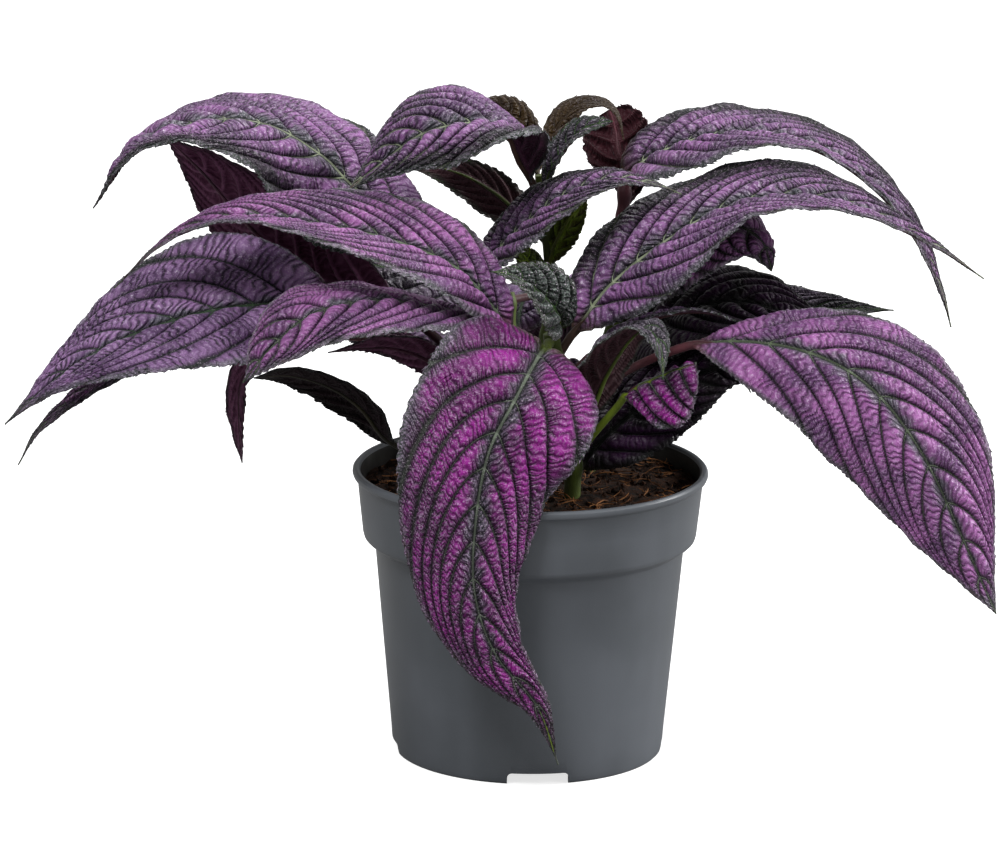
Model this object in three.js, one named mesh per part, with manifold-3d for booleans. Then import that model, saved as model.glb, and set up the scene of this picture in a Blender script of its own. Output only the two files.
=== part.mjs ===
// A persian shield, a tender leafy house plant, in a round plastic grow pot.
// Millimetres, +Z up. The origin is the middle of the pot's foot, on the surface that the pot stands on.
// +X is the plant's widest reach and -Y is its front, where one leaf hangs down before the pot.

import * as THREE from 'three';
import * as BufferGeometryUtils from 'three/addons/utils/BufferGeometryUtils.js';
import Module from 'manifold-3d';

const wasm = await Module();
wasm.setup();

// Pot: outside radii and heights
const POT_HEIGHT = 98;
const POT_RIM_RADIUS = 60;
const POT_COLLAR_TOP_RADIUS = 58.4;
const POT_COLLAR_FOOT_RADIUS = 56.3;
const POT_COLLAR_FOOT_HEIGHT = 76;
const POT_BODY_TOP_RADIUS = 52.2;
const POT_BODY_TOP_HEIGHT = 71.5;
const POT_FOOT_RADIUS = 45.6;
const POT_WALL = 1.3;
const POT_LIP_HEIGHT = 3.4;
const POT_FLOOR_UNDERSIDE = 4.2;
const POT_FLOOR_TOP = 5.6;
const POT_PAD_RADIUS = 18;
const POT_SIDES = 40;
const NOTCH_COUNT = 4;
const NOTCH_WIDTH = 20;
const NOTCH_HEIGHT = 3.9;
const NOTCH_SLOPE = 1.4;
const NOTCH_TURN = 4.5;
const DRAIN_HOLE_COUNT = 8;
const DRAIN_HOLE_RADIUS = 3;
const DRAIN_HOLE_CIRCLE = 30;

// Growing medium: a lumpy, slightly raised fill
const SOIL_LEVEL = 91.5;
const SOIL_MOUND = 2.5;
const SOIL_LUMP = 0.9;
const SOIL_RINGS = 5;

// Clearance that touching pieces keep
const GAP = 0.3;

// Stems: how finely they are drawn, and the swelling at each leaf node
const STEM_SIDES = 8;
const STEM_STEPS = 14;
const NODE_SWELLING = 0.8;
const NODE_LENGTH = 4;

// Leaves: thickness of the blade, the rib below it and the stalk, how much the rib thins towards the tip,
// the half width over which a blade opens out of its round stalk, and how far the side veins sweep forward
const BLADE_THICKNESS = 0.8;
const RIB_DEPTH = 1.0;
const STALK_RADIUS = 0.7;
const STALK_RADIUS_SHARE = 0.015;
const STALK_ROWS = 3;
const RIB_TAPER = 0.8;
const OPENING_WIDTH = 6;
const PUCKER_HEIGHT = 0.55;
const TOOTH_DEPTH = 0.035;
const VEIN_SWEEP = 0.2;
const VEIN_CURVE = 1.5;
const ACROSS = [-1, -0.52, 0, 0.52, 1];

// Each stem: its line from under the soil to its top, its radii, and the heights of its leaf nodes
const STEMS = {
  stem_front: {
    line: [[13, -20, 80], [14, -21, 104], [11, -22, 128], [6, -23, 150]],
    radii: [3.1, 2.0],
    nodes: [104, 113, 134, 141, 148],
  },
  stem_centre: {
    line: [[-2, 14, 80], [4, 14, 125], [6, 13, 160], [2, 12, 196]],
    radii: [2.9, 1.7],
    nodes: [140, 178, 188],
  },
  stem_left: {
    line: [[-14, 2, 80], [-20, 3, 115], [-23, 4, 145], [-24, 4, 166]],
    radii: [3.0, 1.8],
    nodes: [112, 128, 146, 160],
  },
  stem_right: {
    line: [[17, 12, 80], [24, 20, 120], [29, 27, 155], [31, 31, 190]],
    radii: [3.0, 1.8],
    nodes: [118, 136, 158, 178, 186],
  },
  stem_back: {
    line: [[-4, 30, 80], [-6, 38, 115], [-8, 44, 148]],
    radii: [2.9, 1.9],
    nodes: [108, 124, 144],
  },
};

// Each leaf: the line of its stalk and midrib from the stem to the tip, its full width, the length of its
// stalk, the number of side-vein pairs, the directions that its upper face looks in from foot to tip, and
// the angles at which its left and right halves leave the midrib and reach the margin. The foot and point
// exponents say how full its outline is at either end.
const LEAVES = {
  // Front stem
  leaf_front_hanging: {
    line: [[6, -23, 147], [2, -44, 147], [-5, -62, 138], [-14, -71, 121], [-18, -76, 98], [-18, -79, 76],
      [-11, -79, 55], [3, -76, 36], [10, -71, 15]],
    tone: 'vivid',
    width: 62, stalk: 8, veins: 9, foot: 0.48, point: 1.5,
    faces: [[0, 0.2, 1], [0, -0.8, 0.6], [0, -1, 0.1], [-0.2, -1, -0.1]],
    left: [[-14, -56], [-16, -54], [-20, -62], [0, -40]],
    right: [[44, 26], [26, 6], [10, -10], [0, -30]],
  },
  leaf_centre_hairy: {
    line: [[6, -23, 149], [9, -29, 155], [8, -34, 160], [4, -38, 166], [-1, -42, 171], [-7, -45, 175],
      [-14, -46, 176]],
    tone: 'vivid',
    width: 23, stalk: 6, veins: 6, foot: 0.9,
    faces: [[0.2, -0.8, 0.4], [0.2, -0.8, 0.5], [0.1, -0.6, 0.8]],
    left: [[30, 20]], right: [[12, -4]],
  },
  leaf_left_long: {
    line: [[6, -23, 143], [-5, -26, 149], [-14, -27, 161], [-26, -29, 174], [-46, -31, 183],
      [-70, -30, 188], [-98, -28, 190], [-121, -24, 181], [-139, -20, 163]],
    width: 42, stalk: 14, veins: 9, point: 1.7,
    faces: [[0.5, -0.35, 0.75], [0.25, -0.28, 0.9], [0, -0.18, 1], [-0.2, -0.2, 1]],
    left: [[4, -14], [4, -8], [12, 12], [24, 16]],
    right: [[30, 16], [24, 2], [6, -14]],
  },
  leaf_right_upper: {
    line: [[8, -22, 141], [16, -20, 153], [25, -18, 165], [40, -17, 178], [61, -16, 191], [82, -16, 196],
      [106, -16, 193], [131, -15, 181], [150, -14, 168]],
    width: 50, stalk: 10, veins: 9, point: 1.6,
    faces: [[-0.6, -0.3, 0.6], [-0.4, -0.25, 0.9], [0, -0.15, 1], [0.2, -0.1, 1]],
    left: [[28, 12], [31, 15], [16, -4], [22, 8], [13, -3], [10, -6]],
    right: [[-20, -50], [-4, -34], [14, 6], [16, 2], [16, 6]],
  },
  leaf_left_middle: {
    line: [[10, -22, 132], [1, -19, 143], [-12, -20, 153], [-31, -29, 160], [-52, -40, 165],
      [-72, -47, 162], [-86, -51, 151], [-95, -52, 139]],
    width: 46, stalk: 20, veins: 7, foot: 1.3, point: 1.2,
    faces: [[0, 0.05, 1], [0, -0.05, 1], [0, -0.15, 1], [-0.5, -0.5, 0.7]],
    left: [[-2, -16]], right: [[-6, -14], [-4, -14], [-2, -10], [30, 26]],
  },
  leaf_right_edge: {
    line: [[11, -22, 134], [26, -19, 148], [42, -16, 155], [56, -14, 156], [70, -14, 152]],
    width: 18, stalk: 10, veins: 5,
    faces: [[0, 0.3, 1], [0, 0.3, 1]],
    left: [[10, -10]], right: [[10, -10]],
  },
  leaf_right_arching: {
    line: [[12, -22, 120], [24, -14, 130], [42, -17, 141], [62, -27, 149], [88, -37, 149],
      [110, -42, 139], [128, -46, 118], [143, -47, 88], [155, -45, 61]],
    width: 55, stalk: 52, veins: 9, foot: 0.95, point: 1.15,
    faces: [[0, -0.1, 1], [0, -0.4, 0.9], [0.3, -0.7, 0.6], [0.4, -0.9, 0.3]],
    left: [[0, 0], [10, -20], [10, -20], [12, -8], [14, -4], [4, -20]],
    right: [[0, -20], [-8, -50], [-18, -66], [-20, -54]],
  },
  leaf_centre_folded: {
    line: [[14, -22, 112], [19, -26, 124], [24, -30, 138], [31, -36, 151], [37, -42, 157], [42, -46, 152],
      [43, -49, 141]],
    tone: 'vivid',
    width: 28, stalk: 6, veins: 6,
    faces: [[-0.5, 0.6, 0.4], [-0.5, 0.5, 0.6], [0.5, -0.6, 0.4]],
    left: [[14, 0]], right: [[14, 0]],
  },
  leaf_right_short: {
    line: [[14, -21, 104], [19, -23, 113], [24, -25, 120], [29, -28, 127], [33, -32, 134], [39, -35, 138],
      [47, -37, 142], [54, -37, 144]],
    tone: 'vivid',
    width: 37, stalk: 33, veins: 5, foot: 0.6, point: 0.5,
    faces: [[0, -0.2, 1], [0, -0.1, 1], [0, 0, 1]],
    left: [[-24, -40]], right: [[-56, -96]],
  },
  leaf_left_shaded: {
    line: [[13, -21, 104], [-4, -24, 103], [-25, -27, 103], [-46, -29, 113], [-56, -31, 126],
      [-67, -33, 134], [-80, -35, 138], [-92, -37, 137]],
    tone: 'maroon',
    width: 16, stalk: 60, veins: 7, foot: 0.9, point: 1.0,
    faces: [[0, 0, 1], [0.3, 0.6, 0.7], [0.2, 0.6, 0.7]],
    left: [[12, -12]], right: [[-16, -50]],
  },
  leaf_right_low: {
    line: [[14, -19, 98], [22, -17, 110], [34, -15, 121], [48, -13, 130], [62, -12, 136], [78, -12, 136]],
    width: 34, stalk: 5, veins: 6, foot: 0.7, point: 1.0,
    faces: [[-0.3, -0.7, 0.6], [-0.2, -0.6, 0.7]],
    left: [[4, -34]], right: [[4, -26]],
  },
  // Centre stem
  leaf_centre_top: {
    line: [[2, 12, 187], [-2, 8, 198], [-5, 4, 206], [-8, 1, 212], [-19, -7, 218], [-37, -11, 215],
      [-52, -12, 204], [-63, -12, 194]],
    width: 44, stalk: 5, veins: 7, foot: 1.5, point: 1.7,
    faces: [[0.9, -0.1, 0.3], [0.3, -0.4, 0.9], [0, -0.45, 0.9], [-0.2, -0.4, 0.9]],
    left: [[80, 70], [80, 60], [42, 20], [10, -18], [10, -16], [10, -16]],
    right: [[80, 60], [8, -12], [4, -16], [12, -10], [14, -10], [14, -10]],
  },
  leaf_young_back: {
    line: [[2, 14, 191], [0, 21, 201], [-4, 24, 209], [-10, 26, 215], [-19, 28, 218]],
    tone: 'young',
    width: 14, stalk: 4, veins: 5, foot: 1.0, point: 0.9,
    faces: [[0.8, -0.3, 0.2], [0, -0.7, 0.7]],
    left: [[10, 5]], right: [[10, 5]],
  },
  leaf_young_right: {
    line: [[3, 13, 194], [5, 15, 204], [9, 17, 213], [15, 18, 219], [23, 17, 220], [28, 15, 216],
      [30, 13, 208]],
    tone: 'young',
    width: 12, stalk: 4, veins: 5, foot: 0.7, point: 1.5,
    faces: [[-0.6, -0.6, 0.2], [-0.4, -0.4, 0.8], [0.3, -0.3, 0.9], [0.9, -0.2, 0.3]],
    left: [[16, -10]], right: [[16, -10]],
  },
  leaf_young_front: {
    line: [[3, 11, 187], [5, 8, 197], [9, 5, 205], [15, 3, 213], [21, 2, 216], [26, 1, 217]],
    tone: 'young',
    width: 11, stalk: 4, veins: 5, foot: 1.0, point: 1.0,
    faces: [[-0.5, -0.8, 0.3], [-0.3, -0.8, 0.6]],
    left: [[10, -10]], right: [[60, 60]],
  },
  leaf_centre_left: {
    line: [[4, 14, 173], [-5, 17, 181], [-14, 20, 188], [-25, 25, 193], [-38, 30, 195], [-47, 33, 192]],
    width: 16, stalk: 4, veins: 6, foot: 0.8,
    faces: [[-0.3, 0.75, -0.4], [-0.1, 0.8, -0.4]],
    left: [[12, -10]], right: [[12, -10]],
  },
  leaf_centre_right: {
    line: [[5, 13, 161], [7, 10, 170], [10, 9, 177], [14, 8, 184], [18, 8, 190]],
    tone: 'young',
    width: 12, stalk: 5, veins: 5, foot: 0.9, point: 1.0,
    faces: [[0.5, 0.7, -0.3], [0.4, 0.8, -0.4]],
    left: [[10, -10]], right: [[10, 0]],
  },
  leaf_centre_bud: {
    line: [[5, 13, 156], [1, 11, 163], [-3, 9, 169], [-6, 8, 174]],
    tone: 'young',
    width: 9, stalk: 2, veins: 4, foot: 0.8, point: 1.0,
    faces: [[0.3, -0.8, 0.3], [0.2, -0.8, 0.4]],
    left: [[10, 0]], right: [[10, 0]],
  },
  // Left stem
  leaf_left_top: {
    line: [[-24, 4, 160], [-43, 10, 178], [-61, 13, 192], [-71, 13, 202], [-89, 10, 213], [-110, 6, 215],
      [-134, 1, 207], [-147, -2, 186]],
    width: 58, stalk: 18, veins: 9, foot: 0.7, point: 1.0,
    faces: [[0.2, -0.7, 0.6], [0, -0.5, 0.8], [0, -0.3, 0.95], [-0.6, 0.2, 0.8]],
    left: [[-14, -30], [-14, -34], [-6, -18], [12, 2], [0, -14]],
    right: [[0, -8], [-4, -22], [-8, -26], [-4, -18]],
  },
  leaf_centre_crossing: {
    line: [[-24, 4, 160], [-18, -2, 167], [-6, -7, 181], [8, -10, 193], [24, -11, 200],
      [38, -11, 199], [49, -11, 195]],
    width: 30, stalk: 8, veins: 7,
    faces: [[-0.4, -0.4, 0.7], [0, -0.3, 0.9], [0, -0.1, 1]],
    left: [[10, -8]], right: [[10, -8]],
  },
  leaf_left_maroon: {
    line: [[-23, 4, 146], [-40, 12, 151], [-60, 17, 154], [-75, 20, 159], [-89, 20, 170], [-102, 19, 184],
      [-112, 18, 196], [-124, 17, 207]],
    tone: 'maroon',
    width: 46, stalk: 26, veins: 8, foot: 0.75, point: 1.2,
    faces: [[0.2, 0.6, 0.7], [0.3, 0.8, 0.5], [0.3, 0.8, 0.4]],
    left: [[34, 22], [24, 10], [14, 0]],
    right: [[14, 0]],
  },
  leaf_left_low: {
    line: [[-20, 3, 128], [-36, -2, 146], [-56, -8, 156], [-84, -13, 157], [-110, -19, 155],
      [-137, -26, 147], [-157, -28, 135], [-175, -28, 118]],
    width: 60, stalk: 58, veins: 9, foot: 0.8, point: 1.5,
    faces: [[0, -0.3, 0.9], [0, -0.65, 0.75], [-0.1, -0.45, 0.9], [-0.3, -0.3, 0.9]],
    left: [[8, -8], [14, -2], [10, -10]],
    right: [[12, -2], [16, 6], [4, -10]],
  },
  leaf_left_under: {
    line: [[-20, 3, 120], [-31, -7, 135], [-44, -12, 142], [-56, -15, 143], [-68, -17, 141]],
    tone: 'maroon',
    width: 24, stalk: 10, veins: 5,
    faces: [[0, 0.5, 0.8], [0, 0.5, 0.8]],
    left: [[10, -10]], right: [[10, -10]],
  },
  leaf_left_curled: {
    line: [[-20, 3, 116], [-46, 7, 136], [-78, 2, 145], [-114, -9, 142], [-142, -16, 132],
      [-163, -22, 116], [-171, -24, 103]],
    tone: 'maroon',
    width: 32, stalk: 44, veins: 8,
    faces: [[0, 0, 1], [0, 0.05, 1], [-0.3, -0.1, 1]],
    left: [[8, -12]], right: [[8, -12]],
  },
  // Right stem
  leaf_right_top: {
    line: [[31, 31, 186], [35, 30, 196], [46, 27, 203], [60, 24, 208], [80, 21, 209], [100, 18, 203],
      [118, 14, 190], [131, 11, 173], [138, 9, 157], [141, 8, 146]],
    width: 46, stalk: 4, veins: 9, foot: 0.6, point: 1.4,
    faces: [[-0.4, -0.5, 0.7], [0, -0.1, 1], [0.3, -0.1, 0.9], [0.9, -0.3, 0.3]],
    left: [[10, -4], [12, -8], [12, -6], [10, 0]],
    right: [[20, 8], [8, -12], [17, 11], [15, 6], [12, -2]],
  },
  leaf_maroon_back: {
    line: [[31, 29, 178], [32, 33, 183], [32, 38, 191], [29, 42, 198], [28, 46, 204], [27, 48, 208],
      [26, 50, 211]],
    tone: 'maroon',
    width: 23, stalk: 3, veins: 6, foot: 1.2, point: 0.5,
    faces: [[0, 1, 0.1], [0, 1, 0.1], [0, 0.9, 0.5]],
    left: [[4, -10]], right: [[4, -10]],
  },
  leaf_right_behind: {
    line: [[28, 26, 158], [37, 22, 169], [52, 15, 179], [67, 8, 181], [77, 4, 176], [80, 2, 166]],
    width: 54, stalk: 6, veins: 8, foot: 0.7, point: 1.1,
    faces: [[-0.2, -0.5, 0.8], [0, -0.5, 0.85], [0.3, -0.5, 0.7]],
    left: [[10, -10], [10, -30], [-30, -80]],
    right: [[4, -16], [-4, -32], [-4, -30]],
  },
  leaf_right_grey: {
    line: [[27, 24, 142], [46, 36, 146], [70, 34, 147], [94, 28, 148], [110, 21, 149], [122, 15, 150]],
    width: 28, stalk: 10, veins: 7,
    faces: [[0, -0.4, 0.9], [0, -0.5, 0.85]],
    left: [[10, -14]], right: [[4, -20]],
  },
  leaf_right_shaded: {
    line: [[25, 21, 131], [42, 14, 145], [62, 6, 154], [80, 0, 154], [96, -4, 145], [104, -7, 132]],
    width: 46, stalk: 8, veins: 8, foot: 0.6,
    faces: [[0, -0.4, 0.9], [0, -0.4, 0.9], [0.4, -0.4, 0.7]],
    left: [[10, -10]], right: [[10, -20]],
  },
  leaf_back_right: {
    line: [[24, 20, 118], [44, 38, 132], [70, 54, 137], [96, 68, 126], [112, 76, 102]],
    width: 46, stalk: 16, veins: 8,
    faces: [[0, 0, 1], [0.2, 0.2, 0.9]],
    left: [[10, -16]], right: [[10, -16]],
  },
  // Back stem
  leaf_left_tip_down: {
    line: [[-6, 37, 112], [-34, 41, 128], [-62, 38, 135], [-87, 30, 133], [-99, 24, 122], [-100, 22, 106],
      [-98, 20, 93]],
    tone: 'maroon',
    width: 30, stalk: 20, veins: 7, point: 1.1,
    faces: [[0, 0, 1], [-0.2, 0, 1], [-0.9, 0.3, 0.2], [-0.9, 0.5, 0.2]],
    left: [[10, -10]], right: [[10, -10]],
  },
  leaf_back_left_high: {
    line: [[-8, 44, 146], [-22, 48, 150], [-42, 53, 153], [-62, 63, 153], [-82, 78, 143], [-98, 92, 124]],
    width: 48, stalk: 6, veins: 8, foot: 0.6,
    faces: [[0.1, -0.4, 0.9], [0, -0.5, 0.85], [-0.2, 0, 1], [-0.4, 0.3, 0.7]],
    left: [[10, -20]], right: [[10, -20]],
  },
  leaf_back_right_high: {
    line: [[-8, 44, 145], [10, 60, 145], [32, 78, 144], [54, 96, 132], [70, 108, 114], [78, 114, 96]],
    width: 46, stalk: 14, veins: 8,
    faces: [[0, 0.1, 1], [0.2, 0.2, 1], [0.5, 0.5, 0.6]],
    left: [[10, -20]], right: [[10, -20]],
  },
  leaf_back_middle: {
    line: [[-6, 40, 124], [-4, 60, 138], [0, 84, 140], [4, 106, 124], [6, 118, 96]],
    width: 44, stalk: 12, veins: 8,
    faces: [[0, 0, 1], [0, 0.3, 1], [0, 0.9, 0.4]],
    left: [[10, -20]], right: [[10, -20]],
  },
  leaf_back_left: {
    line: [[-6, 37, 109], [-34, 58, 124], [-64, 72, 132], [-90, 82, 128], [-108, 88, 114]],
    width: 42, stalk: 18, veins: 7,
    faces: [[0, 0, 1], [-0.2, 0.1, 1]],
    left: [[10, -16]], right: [[10, -16]],
  },
  leaf_back_low_left: {
    line: [[-5, 36, 104], [-14, 58, 116], [-20, 82, 116], [-25, 102, 100], [-28, 112, 78]],
    width: 38, stalk: 12, veins: 7,
    faces: [[0, 0, 1], [0, 0.3, 1], [0, 0.9, 0.4]],
    left: [[10, -16]], right: [[10, -16]],
  },
  leaf_back_low_right: {
    line: [[-5, 34, 100], [14, 56, 114], [26, 78, 114], [36, 96, 100], [42, 106, 78]],
    width: 38, stalk: 14, veins: 7,
    faces: [[0, 0, 1], [0.1, 0.3, 1], [0.3, 0.9, 0.4]],
    left: [[10, -16]], right: [[10, -16]],
  },
};

const COLOURS = {
  pot: 0x4f5359,
  soil: 0x2b1c10,
  stem: 0x4a5220,
  mauve: 0x6d3a78,
  vivid: 0x8c197f,
  maroon: 0x4c1830,
  young: 0x4a3020,
};

function point(values) {
  return new THREE.Vector3(values[0], values[1], values[2]);
}

// A closed mesh from a list of points and a list of triangles
function bodyFrom(positions, triangles) {
  const geometry = new THREE.BufferGeometry();
  geometry.setAttribute('position', new THREE.Float32BufferAttribute(positions, 3));
  geometry.setIndex(triangles);
  return geometry;
}

function solidFrom(geometry) {
  const bare = geometry.clone();
  bare.deleteAttribute('normal');
  bare.deleteAttribute('uv');
  const merged = BufferGeometryUtils.mergeVertices(bare, 1e-4);
  const vertProperties = new Float32Array(merged.attributes.position.array);
  const triVerts = new Uint32Array(merged.index.array);
  return new wasm.Manifold(new wasm.Mesh({ numProp: 3, vertProperties, triVerts }));
}

function geometryFrom(solid) {
  const mesh = solid.getMesh();
  const positions = [];
  for (let i = 0; i < mesh.numVert; i += 1) {
    const at = i * mesh.numProp;
    positions.push(mesh.vertProperties[at], mesh.vertProperties[at + 1], mesh.vertProperties[at + 2]);
  }
  return bodyFrom(positions, Array.from(mesh.triVerts));
}

// Rings of equal size joined into a closed tube, with a fan over each end
function tubeFrom(rings) {
  const size = rings[0].length;
  const positions = rings.flat().flatMap((p) => [p.x, p.y, p.z]);
  const triangles = [];
  for (let row = 0; row < rings.length - 1; row += 1) {
    for (let i = 0; i < size; i += 1) {
      const next = (i + 1) % size;
      const a = row * size + i;
      const b = row * size + next;
      triangles.push(a, b, b + size, a, b + size, a + size);
    }
  }
  const last = (rings.length - 1) * size;
  for (let i = 1; i < size - 1; i += 1) {
    triangles.push(0, i + 1, i);
    triangles.push(last, last + i, last + i + 1);
  }
  return bodyFrom(positions, triangles);
}

// Stems

function stemRadius(stem, height, share) {
  let radius = THREE.MathUtils.lerp(stem.radii[0], stem.radii[1], share);
  for (const node of stem.nodes) {
    radius += NODE_SWELLING * Math.exp(-(((height - node) / NODE_LENGTH) ** 2));
  }
  return radius;
}

function stemBody(stem, extra) {
  const curve = new THREE.CatmullRomCurve3(stem.line.map(point), false, 'catmullrom');
  const rings = [];
  for (let step = 0; step <= STEM_STEPS; step += 1) {
    const share = step / STEM_STEPS;
    const centre = curve.getPointAt(share);
    const along = curve.getTangentAt(share);
    const side = new THREE.Vector3(1, 0, 0).cross(along).normalize();
    const front = side.clone().cross(along);
    const radius = stemRadius(stem, centre.z, share) + extra;
    const lift = (step === 0 ? -extra : 0) + (step === STEM_STEPS ? extra : 0);
    const ring = [];
    for (let i = 0; i < STEM_SIDES; i += 1) {
      const turn = (i / STEM_SIDES) * 2 * Math.PI;
      ring.push(centre.clone()
        .addScaledVector(along, lift)
        .addScaledVector(front, radius * Math.cos(turn))
        .addScaledVector(side, radius * Math.sin(turn)));
    }
    rings.push(ring);
  }
  return tubeFrom(rings);
}

// Leaves

function facingAt(faces, share) {
  const place = share * (faces.length - 1);
  const index = Math.min(Math.floor(place), faces.length - 2);
  return point(faces[index]).normalize().lerp(point(faces[index + 1]).normalize(), place - index);
}

// The angles of a half blade, in degrees, at a share of the way from the leaf's foot to its tip
function anglesAt(pairs, share) {
  const place = share * (pairs.length - 1);
  const index = Math.min(Math.floor(place), Math.max(pairs.length - 2, 0));
  const next = pairs[Math.min(index + 1, pairs.length - 1)];
  return pairs[index].map((angle, i) => THREE.MathUtils.lerp(angle, next[i], place - index));
}

// How far a half blade of unit width reaches out and up at a share of its width, as it bends from its
// first angle to its last
function halfBlade(angles, share) {
  const start = THREE.MathUtils.degToRad(angles[0]);
  const bend = THREE.MathUtils.degToRad(angles[1] - angles[0] || 1);
  const end = start + bend * share;
  return {
    out: (Math.sin(end) - Math.sin(start)) / bend,
    up: (Math.cos(start) - Math.cos(end)) / bend,
  };
}

function leafOutline(leaf, along) {
  const foot = leaf.foot ?? 0.85;
  const tip = leaf.point ?? 1.5;
  const widest = foot / (foot + tip);
  return (along ** foot * (1 - along) ** tip) / (widest ** foot * (1 - widest) ** tip);
}

// A leaf's rings joined so that its upper and lower faces are split into triangles alike
function leafRings(rings) {
  const size = rings[0].length;
  const columns = size / 2;
  const positions = rings.flat().flatMap((p) => [p.x, p.y, p.z]);
  const triangles = [];
  const topAt = (row, i) => row * size + i;
  const bottomAt = (row, i) => row * size + size - 1 - i;
  for (let row = 0; row < rings.length - 1; row += 1) {
    for (let i = 0; i < columns - 1; i += 1) {
      const a = topAt(row, i);
      const b = topAt(row, i + 1);
      const c = topAt(row + 1, i + 1);
      const d = topAt(row + 1, i);
      triangles.push(a, b, c, a, c, d);
      const e = bottomAt(row, i);
      const f = bottomAt(row, i + 1);
      const g = bottomAt(row + 1, i + 1);
      const h = bottomAt(row + 1, i);
      triangles.push(e, g, f, e, h, g);
    }
    for (const [i, turned] of [[0, true], [columns - 1, false]]) {
      const a = topAt(row, i);
      const b = bottomAt(row, i);
      const c = bottomAt(row + 1, i);
      const d = topAt(row + 1, i);
      if (turned) {
        triangles.push(a, c, b, a, d, c);
      } else {
        triangles.push(a, b, c, a, c, d);
      }
    }
  }
  const last = rings.length - 1;
  for (let i = 0; i < columns - 1; i += 1) {
    triangles.push(topAt(0, i), bottomAt(0, i), bottomAt(0, i + 1));
    triangles.push(topAt(0, i), bottomAt(0, i + 1), topAt(0, i + 1));
    triangles.push(topAt(last, i), bottomAt(last, i + 1), bottomAt(last, i));
    triangles.push(topAt(last, i), topAt(last, i + 1), bottomAt(last, i + 1));
  }
  return bodyFrom(positions, triangles);
}

function leafBody(leaf) {
  const curve = new THREE.CatmullRomCurve3(leaf.line.map(point), false, 'catmullrom');
  curve.arcLengthDivisions = 400;
  const length = curve.getLength();
  const rows = leaf.veins * 2;
  const stalkRadius = STALK_RADIUS + STALK_RADIUS_SHARE * leaf.width;
  const rings = [];
  for (let row = -STALK_ROWS; row <= rows; row += 1) {
    const top = [];
    const bottom = [];
    for (const u of ACROSS) {
      const blade = Math.max(row, 0) / rows;
      const sweep = VEIN_SWEEP * Math.sin(Math.PI * blade) * Math.abs(u) ** VEIN_CURVE;
      const along = Math.min(blade + sweep, 1);
      const distance = row < 0
        ? (leaf.stalk * (row + STALK_ROWS)) / STALK_ROWS
        : leaf.stalk + along * (length - leaf.stalk);
      const share = distance / length;
      const centre = curve.getPointAt(share);
      const forward = curve.getTangentAt(share);
      const facing = facingAt(leaf.faces, share);
      const up = facing.clone().addScaledVector(forward, -facing.dot(forward)).normalize();
      const right = forward.clone().cross(up);
      const crown = row % 2 === 0 ? -1 : 1;
      const reach = row < 0 ? 0 : (leaf.width / 2) * leafOutline(leaf, along) * (1 + TOOTH_DEPTH * crown);
      const narrow = stalkRadius * (row < 0 ? 1 : 1 - RIB_TAPER * along);
      const angles = anglesAt(u < 0 ? leaf.left : leaf.right, share);
      const shape = halfBlade(angles, Math.abs(u));
      const halfWidth = Math.max(reach, narrow);
      const open = Math.min(1, (halfWidth - narrow) / OPENING_WIDTH);
      const pucker = PUCKER_HEIGHT * crown * open * 4 * Math.abs(u) * (1 - 0.8 * Math.abs(u));
      const out = Math.sign(u) * halfWidth * THREE.MathUtils.lerp(Math.abs(u), shape.out, open);
      const sheet = centre.clone()
        .addScaledVector(right, out)
        .addScaledVector(up, halfWidth * shape.up * open + pucker);
      const half = BLADE_THICKNESS / 2 + (1 - open) * (narrow - BLADE_THICKNESS / 2) * (1 - 0.6 * u * u);
      const rib = u === 0 ? RIB_DEPTH * open * (1 - along) : 0;
      top.push(sheet.clone().addScaledVector(up, half));
      bottom.push(sheet.clone().addScaledVector(up, -half - rib));
    }
    rings.push([...top, ...bottom.reverse()]);
  }
  return leafRings(rings);
}

// The pot and the growing medium

// The pot's section, from the middle of its underside outwards, up the outside and back down the inside
function potSection() {
  const bodySlope = (POT_BODY_TOP_RADIUS - POT_FOOT_RADIUS) / POT_BODY_TOP_HEIGHT;
  const lip = POT_HEIGHT - POT_LIP_HEIGHT;
  const inside = POT_COLLAR_TOP_RADIUS - POT_WALL;
  return [
    [0, 0],
    [POT_PAD_RADIUS, 0],
    [POT_PAD_RADIUS + 1, 1],
    [POT_PAD_RADIUS + 1, POT_FLOOR_UNDERSIDE],
    [POT_FOOT_RADIUS - POT_WALL - 1.4, POT_FLOOR_UNDERSIDE],
    [POT_FOOT_RADIUS - POT_WALL - 0.6, 0],
    [POT_FOOT_RADIUS - 0.7, 0],
    [POT_FOOT_RADIUS + 0.1, 1.2],
    [POT_FOOT_RADIUS + bodySlope * 8, 8],
    [POT_BODY_TOP_RADIUS, POT_BODY_TOP_HEIGHT],
    [POT_BODY_TOP_RADIUS + 1.6, POT_BODY_TOP_HEIGHT + 0.7],
    [POT_COLLAR_FOOT_RADIUS - 0.8, POT_COLLAR_FOOT_HEIGHT - 1.8],
    [POT_COLLAR_FOOT_RADIUS, POT_COLLAR_FOOT_HEIGHT],
    [POT_COLLAR_TOP_RADIUS, lip],
    [POT_RIM_RADIUS, lip + 1.1],
    [POT_RIM_RADIUS, POT_HEIGHT - 0.9],
    [POT_RIM_RADIUS - 0.8, POT_HEIGHT],
    [inside + 0.5, POT_HEIGHT],
    [inside, lip],
    [POT_COLLAR_FOOT_RADIUS - POT_WALL, POT_COLLAR_FOOT_HEIGHT],
    [POT_BODY_TOP_RADIUS - POT_WALL, POT_BODY_TOP_HEIGHT + 1],
    [POT_FOOT_RADIUS - POT_WALL + bodySlope * 8, 8],
    [POT_FOOT_RADIUS - POT_WALL - 1.6, POT_FLOOR_TOP],
    [0, POT_FLOOR_TOP],
  ];
}

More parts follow.
